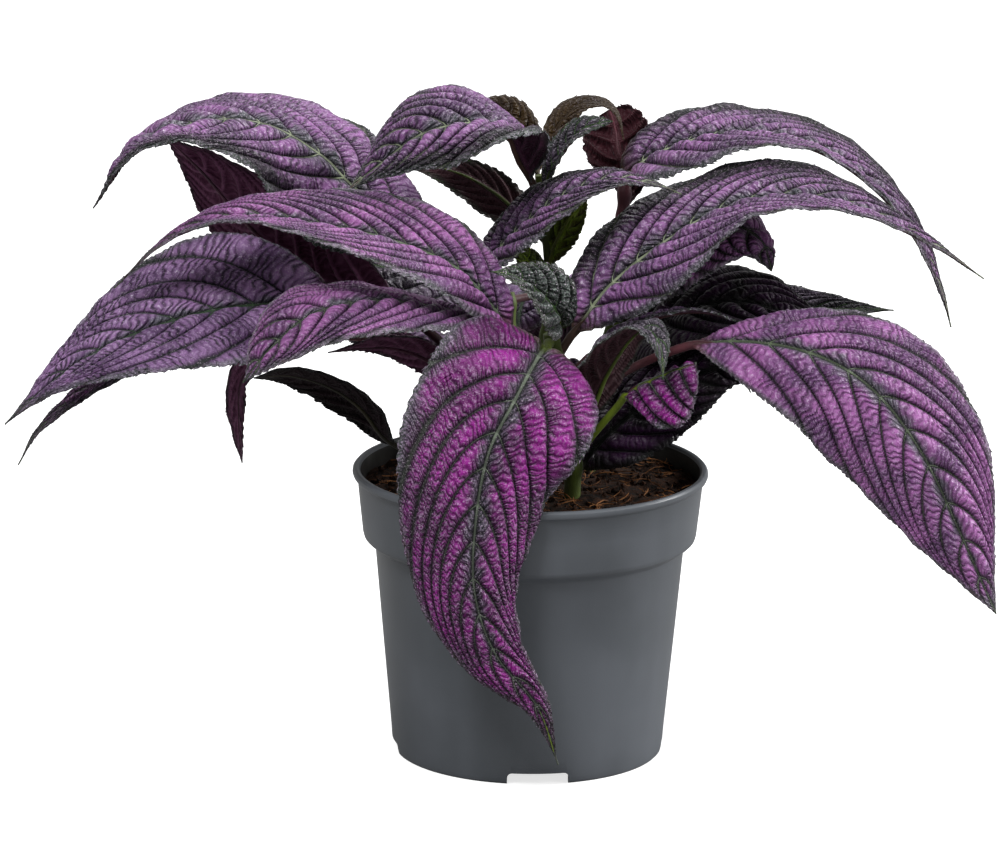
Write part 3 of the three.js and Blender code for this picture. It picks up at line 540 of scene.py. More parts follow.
USUAL_LEAF = dict(
    slot="leaf_mauve", tone="mauve", foot=0.85, point=1.5, gap=10.0, sweep=0.7, cell=0.8,
    left=[(10, -10)], right=[(10, -10)],
)
LEAVES = {
    # Front stem
    "leaf_front_hanging": dict(
        slot="leaf_vivid", tone="vivid", width=62, stalk=8, foot=0.48, gap=12.5, sweep=0.72, cell=0.7,
        line=[(6, -23, 147), (2, -44, 147), (-5, -62, 138), (-14, -71, 121), (-18, -76, 98), (-18, -79, 76),
              (-11, -79, 55), (3, -76, 36), (10, -71, 15)],
        faces=[(0, 0.2, 1), (0, -0.8, 0.6), (0, -1, 0.1), (-0.2, -1, -0.1)],
        left=[(-14, -56), (-16, -54), (-20, -62), (0, -40)],
        right=[(44, 26), (26, 6), (10, -10), (0, -30)],
    ),
    "leaf_centre_hairy": dict(
        slot="leaf_vivid", tone="hairy", width=23, stalk=6, foot=0.9, gap=6.0, sweep=0.55, cell=0.7,
        line=[(6, -23, 149), (9, -29, 155), (8, -34, 160), (4, -38, 166), (-1, -42, 171), (-7, -45, 175),
              (-14, -46, 176)],
        faces=[(0.2, -0.8, 0.4), (0.2, -0.8, 0.5), (0.1, -0.6, 0.8)], left=[(30, 20)], right=[(12, -4)],
    ),
    "leaf_left_long": dict(
        tone="rose", width=42, stalk=14, point=1.7,
        line=[(6, -23, 143), (-5, -26, 149), (-14, -27, 161), (-26, -29, 174), (-46, -31, 183),
              (-70, -30, 188), (-98, -28, 190), (-121, -24, 181), (-139, -20, 163)],
        faces=[(0.5, -0.35, 0.75), (0.25, -0.28, 0.9), (0, -0.18, 1), (-0.2, -0.2, 1)],
        left=[(4, -14), (4, -8), (12, 12), (24, 16)], right=[(30, 16), (24, 2), (6, -14)],
    ),
    "leaf_right_upper": dict(
        tone="plum", width=50, stalk=10, point=1.6, gap=11.0,
        line=[(8, -22, 141), (16, -20, 153), (25, -18, 165), (40, -17, 178), (61, -16, 191), (82, -16, 196),
              (106, -16, 193), (131, -15, 181), (150, -14, 168)],
        faces=[(-0.6, -0.3, 0.6), (-0.4, -0.25, 0.9), (0, -0.15, 1), (0.2, -0.1, 1)],
        left=[(28, 12), (31, 15), (16, -4), (22, 8), (13, -3), (10, -6)],
        right=[(-20, -50), (-4, -34), (14, 6), (16, 2), (16, 6)],
    ),
    "leaf_left_middle": dict(
        tone="rose", width=46, stalk=20, foot=1.3, point=1.2, gap=9.5, sweep=0.75, cell=0.75,
        line=[(10, -22, 132), (1, -19, 143), (-12, -20, 153), (-31, -29, 160), (-52, -40, 165),
              (-72, -47, 162), (-86, -51, 151), (-95, -52, 139)],
        faces=[(0, 0.05, 1), (0, -0.05, 1), (0, -0.15, 1), (-0.5, -0.5, 0.7)], left=[(-2, -16)],
        right=[(-6, -14), (-4, -14), (-2, -10), (30, 26)],
    ),
    "leaf_right_edge": dict(
        width=18, stalk=10, gap=6.0, sweep=0.5, cell=1.1,
        line=[(11, -22, 134), (26, -19, 148), (42, -16, 155), (56, -14, 156), (70, -14, 152)],
        faces=[(0, 0.3, 1), (0, 0.3, 1)],
    ),
    "leaf_right_arching": dict(
        tone="rose", width=55, stalk=52, foot=0.95, point=1.15, gap=14.0, sweep=0.9, cell=0.75,
        line=[(12, -22, 120), (24, -14, 130), (42, -17, 141), (62, -27, 149), (88, -37, 149),
              (110, -42, 139), (128, -46, 118), (143, -47, 88), (155, -45, 61)],
        faces=[(0, -0.1, 1), (0, -0.4, 0.9), (0.3, -0.7, 0.6), (0.4, -0.9, 0.3)],
        left=[(0, 0), (10, -20), (10, -20), (12, -8), (14, -4), (4, -20)],
        right=[(0, -20), (-8, -50), (-18, -66), (-20, -54)],
    ),
    "leaf_centre_folded": dict(
        slot="leaf_vivid", tone="grey", width=28, stalk=6, gap=7.0, sweep=0.6,
        line=[(14, -22, 112), (19, -26, 124), (24, -30, 138), (31, -36, 151), (37, -42, 157),
              (42, -46, 152), (43, -49, 141)],
        faces=[(-0.5, 0.6, 0.4), (-0.5, 0.5, 0.6), (0.5, -0.6, 0.4)], left=[(14, 0)], right=[(14, 0)],
    ),
    "leaf_right_short": dict(
        slot="leaf_vivid", tone="vivid", width=37, stalk=33,
        foot=0.6, point=0.5, gap=7.0, sweep=0.5, cell=0.75,
        line=[(14, -21, 104), (19, -23, 113), (24, -25, 120), (29, -28, 127), (33, -32, 134),
              (39, -35, 138), (47, -37, 142), (54, -37, 144)],
        faces=[(0, -0.2, 1), (0, -0.1, 1), (0, 0, 1)], left=[(-24, -40)], right=[(-56, -96)],
    ),
    "leaf_left_shaded": dict(
        slot="leaf_maroon", tone="shade", width=16, stalk=60,
        foot=0.9, point=1.0, gap=8.0, sweep=0.6, cell=1.1,
        line=[(13, -21, 104), (-4, -24, 103), (-25, -27, 103), (-46, -29, 113), (-56, -31, 126),
              (-67, -33, 134), (-80, -35, 138), (-92, -37, 137)],
        faces=[(0, 0, 1), (0.3, 0.6, 0.7), (0.2, 0.6, 0.7)], left=[(12, -12)], right=[(-16, -50)],
    ),
    "leaf_right_low": dict(
        tone="shade", width=34, stalk=5, foot=0.7, point=1.0, gap=8.0, sweep=0.6, cell=1.1,
        line=[(14, -19, 98), (22, -17, 110), (34, -15, 121), (48, -13, 130), (62, -12, 136),
              (78, -12, 136)],
        faces=[(-0.3, -0.7, 0.6), (-0.2, -0.6, 0.7)], left=[(4, -34)], right=[(4, -26)],
    ),
    # Centre stem
    "leaf_centre_top": dict(
        tone="plum", width=44, stalk=5, foot=1.5, point=1.7, gap=8.5, cell=0.75,
        line=[(2, 12, 187), (-2, 8, 198), (-5, 4, 206), (-8, 1, 212), (-19, -7, 218), (-37, -11, 215),
              (-52, -12, 204), (-63, -12, 194)],
        faces=[(0.9, -0.1, 0.3), (0.3, -0.4, 0.9), (0, -0.45, 0.9), (-0.2, -0.4, 0.9)],
        left=[(80, 70), (80, 60), (42, 20), (10, -18), (10, -16), (10, -16)],
        right=[(80, 60), (8, -12), (4, -16), (12, -10), (14, -10), (14, -10)],
    ),
    "leaf_young_back": dict(
        slot="leaf_young", tone="young", width=14, stalk=4,
        foot=1.0, point=0.9, gap=4.0, sweep=0.5, cell=0.7,
        line=[(2, 14, 191), (0, 21, 201), (-4, 24, 209), (-10, 26, 215), (-19, 28, 218)],
        faces=[(0.8, -0.3, 0.2), (0, -0.7, 0.7)], left=[(10, 5)], right=[(10, 5)],
    ),
    "leaf_young_right": dict(
        slot="leaf_young", tone="young", width=12, stalk=4, foot=0.7, gap=4.0, sweep=0.5, cell=0.7,
        line=[(3, 13, 194), (5, 15, 204), (9, 17, 213), (15, 18, 219), (23, 17, 220), (28, 15, 216),
              (30, 13, 208)],
        faces=[(-0.6, -0.6, 0.2), (-0.4, -0.4, 0.8), (0.3, -0.3, 0.9), (0.9, -0.2, 0.3)], left=[(16, -10)],
        right=[(16, -10)],
    ),
    "leaf_young_front": dict(
        slot="leaf_young", tone="grey", width=11, stalk=4,
        foot=1.0, point=1.0, gap=5.0, sweep=0.5, cell=0.7,
        line=[(3, 11, 187), (5, 8, 197), (9, 5, 205), (15, 3, 213), (21, 2, 216), (26, 1, 217)],
        faces=[(-0.5, -0.8, 0.3), (-0.3, -0.8, 0.6)], right=[(60, 60)],
    ),
    "leaf_centre_left": dict(
        tone="grey", width=16, stalk=4, foot=0.8, gap=6.0, sweep=0.6, cell=0.75,
        line=[(4, 14, 173), (-5, 17, 181), (-14, 20, 188), (-25, 25, 193), (-38, 30, 195), (-47, 33, 192)],
        faces=[(-0.3, 0.75, -0.4), (-0.1, 0.8, -0.4)], left=[(12, -10)], right=[(12, -10)],
    ),
    "leaf_centre_right": dict(
        slot="leaf_young", tone="green", width=12, stalk=5,
        foot=0.9, point=1.0, gap=5.0, sweep=0.5, cell=0.75,
        line=[(5, 13, 161), (7, 10, 170), (10, 9, 177), (14, 8, 184), (18, 8, 190)],
        faces=[(0.5, 0.7, -0.3), (0.4, 0.8, -0.4)], right=[(10, 0)],
    ),
    "leaf_centre_bud": dict(
        slot="leaf_young", tone="green", width=9, stalk=2,
        foot=0.8, point=1.0, gap=4.0, sweep=0.4, cell=0.7,
        line=[(5, 13, 156), (1, 11, 163), (-3, 9, 169), (-6, 8, 174)],
        faces=[(0.3, -0.8, 0.3), (0.2, -0.8, 0.4)], left=[(10, 0)], right=[(10, 0)],
    ),
    # Left stem
    "leaf_left_top": dict(
        tone="plum", width=58, stalk=18, foot=0.7, point=1.0, gap=12.0, sweep=0.8,
        line=[(-24, 4, 160), (-43, 10, 178), (-61, 13, 192), (-71, 13, 202), (-89, 10, 213), (-110, 6, 215),
              (-134, 1, 207), (-147, -2, 186)],
        faces=[(0.2, -0.7, 0.6), (0, -0.5, 0.8), (0, -0.3, 0.95), (-0.6, 0.2, 0.8)],
        left=[(-14, -30), (-14, -34), (-6, -18), (12, 2), (0, -14)],
        right=[(0, -8), (-4, -22), (-8, -26), (-4, -18)],
    ),
    "leaf_centre_crossing": dict(
        tone="plum", width=30, stalk=8, gap=7.0, sweep=0.65,
        line=[(-24, 4, 160), (-18, -2, 167), (-6, -7, 181), (8, -10, 193), (24, -11, 200), (38, -11, 199),
              (49, -11, 195)],
        faces=[(-0.4, -0.4, 0.7), (0, -0.3, 0.9), (0, -0.1, 1)], left=[(10, -8)], right=[(10, -8)],
    ),
    "leaf_left_maroon": dict(
        slot="leaf_maroon", tone="maroon", width=46, stalk=26, foot=0.75, point=1.2, gap=9.0, cell=1.1,
        line=[(-23, 4, 146), (-40, 12, 151), (-60, 17, 154), (-75, 20, 159), (-89, 20, 170),
              (-102, 19, 184), (-112, 18, 196), (-124, 17, 207)],
        faces=[(0.2, 0.6, 0.7), (0.3, 0.8, 0.5), (0.3, 0.8, 0.4)], left=[(34, 22), (24, 10), (14, 0)],
        right=[(14, 0)],
    ),
    "leaf_left_low": dict(
        width=60, stalk=58, foot=0.8, gap=13.0, sweep=1.1,
        line=[(-20, 3, 128), (-36, -2, 146), (-56, -8, 156), (-84, -13, 157), (-110, -19, 155),
              (-137, -26, 147), (-157, -28, 135), (-175, -28, 118)],
        faces=[(0, -0.3, 0.9), (0, -0.65, 0.75), (-0.1, -0.45, 0.9), (-0.3, -0.3, 0.9)],
        left=[(8, -8), (14, -2), (10, -10)], right=[(12, -2), (16, 6), (4, -10)],
    ),
    "leaf_left_under": dict(
        slot="leaf_maroon", tone="maroon", width=24, stalk=10, gap=8.0, sweep=0.6, cell=1.1,
        line=[(-20, 3, 120), (-31, -7, 135), (-44, -12, 142), (-56, -15, 143), (-68, -17, 141)],
        faces=[(0, 0.5, 0.8), (0, 0.5, 0.8)],
    ),
    "leaf_left_curled": dict(
        slot="leaf_maroon", tone="rose", width=32, stalk=44, gap=9.0, cell=1.1,
        line=[(-20, 3, 116), (-46, 7, 136), (-78, 2, 145), (-114, -9, 142), (-142, -16, 132),
              (-163, -22, 116), (-171, -24, 103)],
        faces=[(0, 0, 1), (0, 0.05, 1), (-0.3, -0.1, 1)], left=[(8, -12)], right=[(8, -12)],
    ),
    # Right stem
    "leaf_right_top": dict(
        tone="plum", width=46, stalk=4, foot=0.6, point=1.4, gap=9.0, sweep=0.75,
        line=[(31, 31, 186), (35, 30, 196), (46, 27, 203), (60, 24, 208), (80, 21, 209), (100, 18, 203),
              (118, 14, 190), (131, 11, 173), (138, 9, 157), (141, 8, 146)],
        faces=[(-0.4, -0.5, 0.7), (0, -0.1, 1), (0.3, -0.1, 0.9), (0.9, -0.3, 0.3)],
        left=[(10, -4), (12, -8), (12, -6), (10, 0)],
        right=[(20, 8), (8, -12), (17, 11), (15, 6), (12, -2)],
    ),
    "leaf_maroon_back": dict(
        slot="leaf_maroon", tone="wine", width=23, stalk=3,
        foot=1.2, point=0.5, gap=6.0, sweep=0.5, cell=0.9,
        line=[(31, 29, 178), (32, 33, 183), (32, 38, 191), (29, 42, 198), (28, 46, 204), (27, 48, 208),
              (26, 50, 211)],
        faces=[(0, 1, 0.1), (0, 1, 0.1), (0, 0.9, 0.5)], left=[(4, -10)], right=[(4, -10)],
    ),
    "leaf_right_behind": dict(
        tone="rose", width=54, stalk=6, foot=0.7, point=1.1, gap=9.0, sweep=0.8, cell=1.1,
        line=[(28, 26, 158), (37, 22, 169), (52, 15, 179), (67, 8, 181), (77, 4, 176), (80, 2, 166)],
        faces=[(-0.2, -0.5, 0.8), (0, -0.5, 0.85), (0.3, -0.5, 0.7)],
        left=[(10, -10), (10, -30), (-30, -80)], right=[(4, -16), (-4, -32), (-4, -30)],
    ),
    "leaf_right_grey": dict(
        tone="grey", width=28, stalk=10, gap=7.0, sweep=0.8, cell=1.1,
        line=[(27, 24, 142), (46, 36, 146), (70, 34, 147), (94, 28, 148), (110, 21, 149), (122, 15, 150)],
        faces=[(0, -0.4, 0.9), (0, -0.5, 0.85)], left=[(10, -14)], right=[(4, -20)],
    ),
    "leaf_right_shaded": dict(
        tone="shade", width=46, stalk=8, foot=0.6, gap=9.0, cell=1.1,
        line=[(25, 21, 131), (42, 14, 145), (62, 6, 154), (80, 0, 154), (96, -4, 145), (104, -7, 132)],
        faces=[(0, -0.4, 0.9), (0, -0.4, 0.9), (0.4, -0.4, 0.7)], right=[(10, -20)],
    ),
    "leaf_back_right": dict(
        tone="shade", width=46, stalk=16, cell=1.4,
        line=[(24, 20, 118), (44, 38, 132), (70, 54, 137), (96, 68, 126), (112, 76, 102)],
        faces=[(0, 0, 1), (0.2, 0.2, 0.9)], left=[(10, -16)], right=[(10, -16)],
    ),
    # Back stem
    "leaf_left_tip_down": dict(
        slot="leaf_maroon", tone="maroon", width=30, stalk=20, point=1.1, gap=8.0, sweep=0.6, cell=1.1,
        line=[(-6, 37, 112), (-34, 41, 128), (-62, 38, 135), (-87, 30, 133), (-99, 24, 122),
              (-100, 22, 106), (-98, 20, 93)],
        faces=[(0, 0, 1), (-0.2, 0, 1), (-0.9, 0.3, 0.2), (-0.9, 0.5, 0.2)],
    ),
    "leaf_back_left_high": dict(
        tone="grey", width=48, stalk=6, foot=0.6, cell=1.3,
        line=[(-8, 44, 146), (-22, 48, 150), (-42, 53, 153), (-62, 63, 153), (-82, 78, 143),
              (-98, 92, 124)],
        faces=[(0.1, -0.4, 0.9), (0, -0.5, 0.85), (-0.2, 0, 1), (-0.4, 0.3, 0.7)], left=[(10, -20)],
        right=[(10, -20)],
    ),
    "leaf_back_right_high": dict(
        width=46, stalk=14, cell=1.3,
        line=[(-8, 44, 145), (10, 60, 145), (32, 78, 144), (54, 96, 132), (70, 108, 114), (78, 114, 96)],
        faces=[(0, 0.1, 1), (0.2, 0.2, 1), (0.5, 0.5, 0.6)], left=[(10, -20)], right=[(10, -20)],
    ),
    "leaf_back_middle": dict(
        width=44, stalk=12, cell=1.3,
        line=[(-6, 40, 124), (-4, 60, 138), (0, 84, 140), (4, 106, 124), (6, 118, 96)],
        faces=[(0, 0, 1), (0, 0.3, 1), (0, 0.9, 0.4)], left=[(10, -20)], right=[(10, -20)],
    ),
    "leaf_back_left": dict(
        width=42, stalk=18, cell=1.4,
        line=[(-6, 37, 109), (-34, 58, 124), (-64, 72, 132), (-90, 82, 128), (-108, 88, 114)],
        faces=[(0, 0, 1), (-0.2, 0.1, 1)], left=[(10, -16)], right=[(10, -16)],
    ),
    "leaf_back_low_left": dict(
        width=38, stalk=12, cell=1.4,
        line=[(-5, 36, 104), (-14, 58, 116), (-20, 82, 116), (-25, 102, 100), (-28, 112, 78)],
        faces=[(0, 0, 1), (0, 0.3, 1), (0, 0.9, 0.4)], left=[(10, -16)], right=[(10, -16)],
    ),
    "leaf_back_low_right": dict(
        width=38, stalk=14, cell=1.4,
        line=[(-5, 34, 100), (14, 56, 114), (26, 78, 114), (36, 96, 100), (42, 106, 78)],
        faces=[(0, 0, 1), (0.1, 0.3, 1), (0.3, 0.9, 0.4)], left=[(10, -16)], right=[(10, -16)],
    ),
}

# %% [markdown]
# ## The line of a leaf
# A smooth curve goes through the points of the table: a Catmull-Rom spline, measured along its length, so
# that a distance in millimetres from the stem gives a place and a direction.

# %% Spline by length
def spline(points, samples=1200):
    points = np.array(points, float)
    padded = np.vstack([2 * points[0] - points[1], points, 2 * points[-1] - points[-2]])
    place = np.linspace(0.0, len(points) - 1, samples)
    index = np.minimum(place.astype(int), len(points) - 2)
    part = (place - index)[:, None]
    before, first, last, after = (padded[index + step] for step in range(4))
    start, end = 0.5 * (last - before), 0.5 * (after - first)
    bend, twist = 3 * (last - first) - 2 * start - end, 2 * (first - last) + start + end
    line = first + start * part + bend * part**2 + twist * part**3
    slope = start + 2 * bend * part + 3 * twist * part**2
    length = np.concatenate([[0.0], np.cumsum(np.linalg.norm(np.diff(line, axis=0), axis=1))])
    return {"line": line, "slope": slope, "at": length, "length": length[-1]}


def read_line(curve, distance):
    place = np.stack([np.interp(distance, curve["at"], curve["line"][:, axis]) for axis in range(3)], -1)
    slope = np.stack([np.interp(distance, curve["at"], curve["slope"][:, axis]) for axis in range(3)], -1)
    return place, slope / np.linalg.norm(slope, axis=-1, keepdims=True)


def read_steps(rows, share):
    """A table of rows spread evenly from foot to tip, read in between."""
    rows = np.array(rows, float)
    if len(rows) == 1:
        return np.broadcast_to(rows[0], (*share.shape, rows.shape[1]))
    places = np.linspace(0.0, 1.0, len(rows))
    return np.stack([np.interp(share, places, rows[:, axis]) for axis in range(rows.shape[1])], -1)


def unit(vectors):
    return vectors / np.linalg.norm(vectors, axis=-1, keepdims=True)


# %% [markdown]
# ## The shape of a blade
# Every point of a blade is found from two numbers: how far it is from foot to tip, and how far across, from
# -1 at the left margin to 1 at the right. A line of constant first number is a side vein, which leaves the
# midrib almost square and then sweeps towards the tip. The grid has more rows between two veins where they
# spread out towards the margin, so that its cells stay about one size. The surface sinks along the midrib
# and the side veins, swells between them and ripples at each small rung, unevenly, as on the real leaf. The
# margin ruffles a little and has lobes that stand out and droop.

# %% Blade formula
VEIN_START = 0.3
VEIN_BEND = 2.0
SCALLOP = 0.012
LOBE = 1.2
LOBE_PITCH = 3.1
LOBE_HEIGHT = 0.7
LOBE_REACH = 5.5
LOBE_DROOP = 1.0
QUILT_HEIGHT = 1.45
RUNG_PITCH = 2.5
RUNG_HEIGHT = 0.6
RIB_GROOVE = 0.8
RIB_REACH = 1.3
RUFFLE = 0.35
RUFFLE_PITCH = 15.0
WARP = 0.6
FULL_OPENING = 6.0
ROW_STRETCH = 1.3
TEETH_PITCH = 1.2


def outline(leaf, along):
    foot, tip = leaf["foot"], leaf["point"]
    widest = foot / (foot + tip)
    return along**foot * (1 - along) ** tip / (widest**foot * (1 - widest) ** tip)


def stalk_radius(leaf):
    return 0.7 + 0.015 * leaf["width"]


def rung_shift(side, interval, seed):
    """A different start for the rungs of each space between two side veins."""
    return np.abs(np.sin(interval * 12.9898 + side * 37.719 + seed * 4.37) * 43758.5453) % 1.0


def swept(leaf, blade, lead):
    """How far from foot to tip a side vein has come; lead goes from 0 at the midrib to 1 at the margin."""
    return np.minimum(blade + leaf["sweep"] * (1.0 - blade) * (1.0 - (1.0 - blade) ** 4) * lead, 1.0)


def rows_between_veins(leaf, veins, length):
    """The row number at which each side vein lies."""
    starts = np.arange(veins + 1) / veins
    widest = np.maximum(np.diff(swept(leaf, starts, 1.0)), 1.0 / veins) * length
    rows = 2 * np.maximum(2, np.round(widest / (ROW_STRETCH * leaf["cell"]) / 2)).astype(int)
    return np.concatenate([[0], np.cumsum(rows)])


def blade_points(leaf, across, blade, veins, seed):
    curve = spline(leaf["line"])
    side, sign = np.abs(across), np.sign(across)
    along = swept(leaf, blade, VEIN_START * side + (1.0 - VEIN_START) * side**VEIN_BEND)
    blade_length = curve["length"] - leaf["stalk"]
    distance = leaf["stalk"] + along * blade_length
    share = distance / curve["length"]
    centre, forward = read_line(curve, distance)
    facing = read_steps([unit(np.array(face, float)) for face in leaf["faces"]], share)
    up = unit(facing - forward * np.sum(facing * forward, -1, keepdims=True))
    right = np.cross(forward, up)

    vein = blade * veins
    narrow = stalk_radius(leaf) * (1.0 - 0.8 * along)
    reach = leaf["width"] / 2 * outline(leaf, along) * (1.0 - SCALLOP * np.cos(2 * math.pi * vein))
    half = np.maximum(reach, 0.55 * narrow)
    opening = np.clip((half - narrow) / FULL_OPENING, 0.0, 1.0)
    left, right_half = read_steps(leaf["left"], share), read_steps(leaf["right"], share)
    angles = np.where(across[..., None] < 0, left, right_half)
    start = np.radians(angles[..., 0])
    turn = angles[..., 1] - angles[..., 0]
    bend = np.radians(np.where(np.abs(turn) < 1e-6, 1.0, turn))
    local = start + bend * side
    out = (np.sin(local) - np.sin(start)) / bend
    rise = (np.cos(start) - np.cos(local)) / bend
    tilt = (local * opening)[..., None]
    normal = up * np.cos(tilt) - sign[..., None] * right * np.sin(tilt)
    outward = sign[..., None] * right * np.cos(tilt) + up * np.sin(tilt)
    sheet = (
        centre
        + (sign * half * (side + (out - side) * opening))[..., None] * right
        + (half * rise * opening)[..., None] * up
    )

    # how far each point lies along its own side vein, and how much that vein leans towards the tip
    middle = across.shape[1] // 2
    step = np.linalg.norm(np.diff(sheet, axis=1), axis=-1)
    vein_run = np.zeros(across.shape)
    vein_run[:, middle + 1:] = np.cumsum(step[:, middle:], 1)
    vein_run[:, :middle] = np.cumsum(step[:, :middle][:, ::-1], 1)[:, ::-1]
    long_wave = np.sin(0.4 * vein_run + 2.2 * vein + seed)
    vein_run += 0.9 * long_wave + 0.5 * np.sin(0.8 * vein_run - 2.9 * vein + 2 * seed)
    lean = np.clip(np.abs(np.sum(unit(np.gradient(sheet, axis=1) + 1e-9) * forward, -1)), 0.0, 0.97)
    gap = blade_length / veins
    to_vein = np.abs(vein - np.round(vein)) * gap * np.sqrt(1.0 - lean**2)
    from_rib = side * half
    from_margin = (1.0 - side) * half

    between = 2.0 * np.abs(vein - np.round(vein))
    swell = 1.0 - (1.0 - between) ** 2.4
    calm = opening * smooth_step(from_margin / 1.6) * smooth_step((from_rib - 0.5) / 3.0)
    narrowing = np.clip(np.sqrt(1.0 - lean**2) * 1.5, 0.2, 1.0)
    height = QUILT_HEIGHT * narrowing * (2.0 * swell - 1.0) * calm
    interval = np.floor(vein)
    rung = (vein_run + (vein - interval) * gap * lean) / RUNG_PITCH + rung_shift(sign, interval, seed)
    pillow = np.abs(np.sin(math.pi * rung)) ** 0.7
    uneven = 0.75 + 0.45 * np.sin(0.21 * vein_run + 1.7 * vein + seed) * np.sin(2.3 * vein + seed)
    height += RUNG_HEIGHT * uneven * (pillow - 0.7) * smooth_step(to_vein / 1.4) * calm
    height -= RIB_GROOVE * opening * np.exp(-((from_rib / RIB_REACH) ** 2))
    wave = np.sin(2 * math.pi * along * curve["length"] / RUFFLE_PITCH + 2.0 * sign + seed)
    height += RUFFLE * opening * side**4 * wave
    slow = np.sin(along * 7.0 + seed * 2.1 + 1.3 * across) * np.sin(across * 2.3 + seed)
    height += WARP * opening * slow * side

    lobe = np.abs(np.sin(math.pi * along * curve["length"] / LOBE_PITCH)) ** 0.8 - 0.6
    height += LOBE_HEIGHT * lobe * opening * smooth_step(1.0 - from_margin / LOBE_REACH)
    lobe *= smooth_step((1.5 - from_margin) / 1.5) * np.clip(opening * 1.5, 0.0, 1.0)
    places = sheet + normal * (height - LOBE_DROOP * lobe)[..., None] + outward * (LOBE * lobe)[..., None]
    return {
        "places": places, "from_rib": from_rib, "from_margin": from_margin, "to_vein": to_vein,
        "vein": vein, "vein_run": vein_run, "lean": lean * gap, "along": along,
    }


# %% [markdown]
# ## A leaf as a piece
# A grid primitive gives the blade its faces; the formula gives them their place. Three UV maps carry what
# the finish needs: the distance from the midrib and from the nearest side vein, the rung count and the
# distance from the margin, and the share from foot to tip and from side to side. Solidify gives the blade
# its thickness, with another material below. The stalk and midrib are one tapered tube that stands out
# under the blade, as the real rib does. Fine teeth, which are small three-sided spikes, stand along both
# margins.

# %% Blade, rib and finished leaf
BLADE_THICKNESS = 0.5
RIB_STEPS = 56
RIB_END = 0.97


def make_blade(name, leaf, seed):
    length = spline(leaf["line"])["length"] - leaf["stalk"]
    veins = max(5, round(length / leaf["gap"]))
    columns = 2 * max(6, round(leaf["width"] / 2 / leaf["cell"]))
    vein_rows = rows_between_veins(leaf, veins, length)
    rows = int(vein_rows[-1])
    bpy.ops.object.select_all(action="DESELECT")
    bpy.ops.mesh.primitive_grid_add(x_subdivisions=columns, y_subdivisions=rows, size=2.0)
    blade = bpy.context.object
    blade.name = name
    mesh = blade.data
    grid = np.empty(len(mesh.vertices) * 3)
    mesh.vertices.foreach_get("co", grid)
    grid = grid.reshape(-1, 3).round(6)
    order = np.lexsort((grid[:, 0], grid[:, 1]))
    shape = (rows + 1, columns + 1)
    across, blade_share = (grid[order, axis].reshape(shape) for axis in (0, 1))
    row = (blade_share + 1.0) / 2.0 * rows
    made = blade_points(leaf, across, np.interp(row, vein_rows, np.arange(veins + 1)) / veins, veins, seed)
    flat = {}
    for title, values in made.items():
        flat[title] = np.empty((len(grid), *values.shape[2:]))
        flat[title][order] = values.reshape(len(grid), *values.shape[2:])
    mesh.vertices.foreach_set("co", (flat["places"] * MM).ravel())

    corners = np.empty(len(mesh.loops), int)
    mesh.loops.foreach_get("vertex_index", corners)
    at = {title: values[corners] for title, values in flat.items() if title != "places"}
    corner_side = grid[corners, 0]
    face_side = np.sign(corner_side.reshape(-1, 4).mean(1)).repeat(4)
    interval = np.floor(at["vein"].reshape(-1, 4).mean(1).repeat(4))
    rung = (at["vein_run"] + (at["vein"] - interval) * at["lean"]) / RUNG_PITCH
    rung += rung_shift(face_side, interval, seed)
    while mesh.uv_layers:
        mesh.uv_layers.remove(mesh.uv_layers[0])
    for title, first, second in (
        ("veins", 0.5 + face_side * at["from_rib"] / 100.0, at["to_vein"] / 20.0),
        ("rungs", rung / 60.0, at["from_margin"] / 40.0),
        ("share", at["along"], 0.5 + 0.5 * corner_side),
    ):
        layer = mesh.uv_layers.new(name=title)
        layer.uv.foreach_set("vector", np.stack([first, second], -1).ravel())
    mesh.update()
    only(blade)
    bpy.ops.object.mode_set(mode="EDIT")
    bpy.ops.mesh.select_all(action="SELECT")
    bpy.ops.mesh.quads_convert_to_tris(quad_method="SHORTEST_DIAGONAL")
    bpy.ops.object.mode_set(mode="OBJECT")
    return blade, made["places"]


def spike_shape():
    bpy.ops.mesh.primitive_cone_add(vertices=3, radius1=0.4, radius2=0.0, depth=1.0)
    return mesh_arrays(bpy.context.object)


SPIKE_PLACES, SPIKE_FACES = spike_shape()


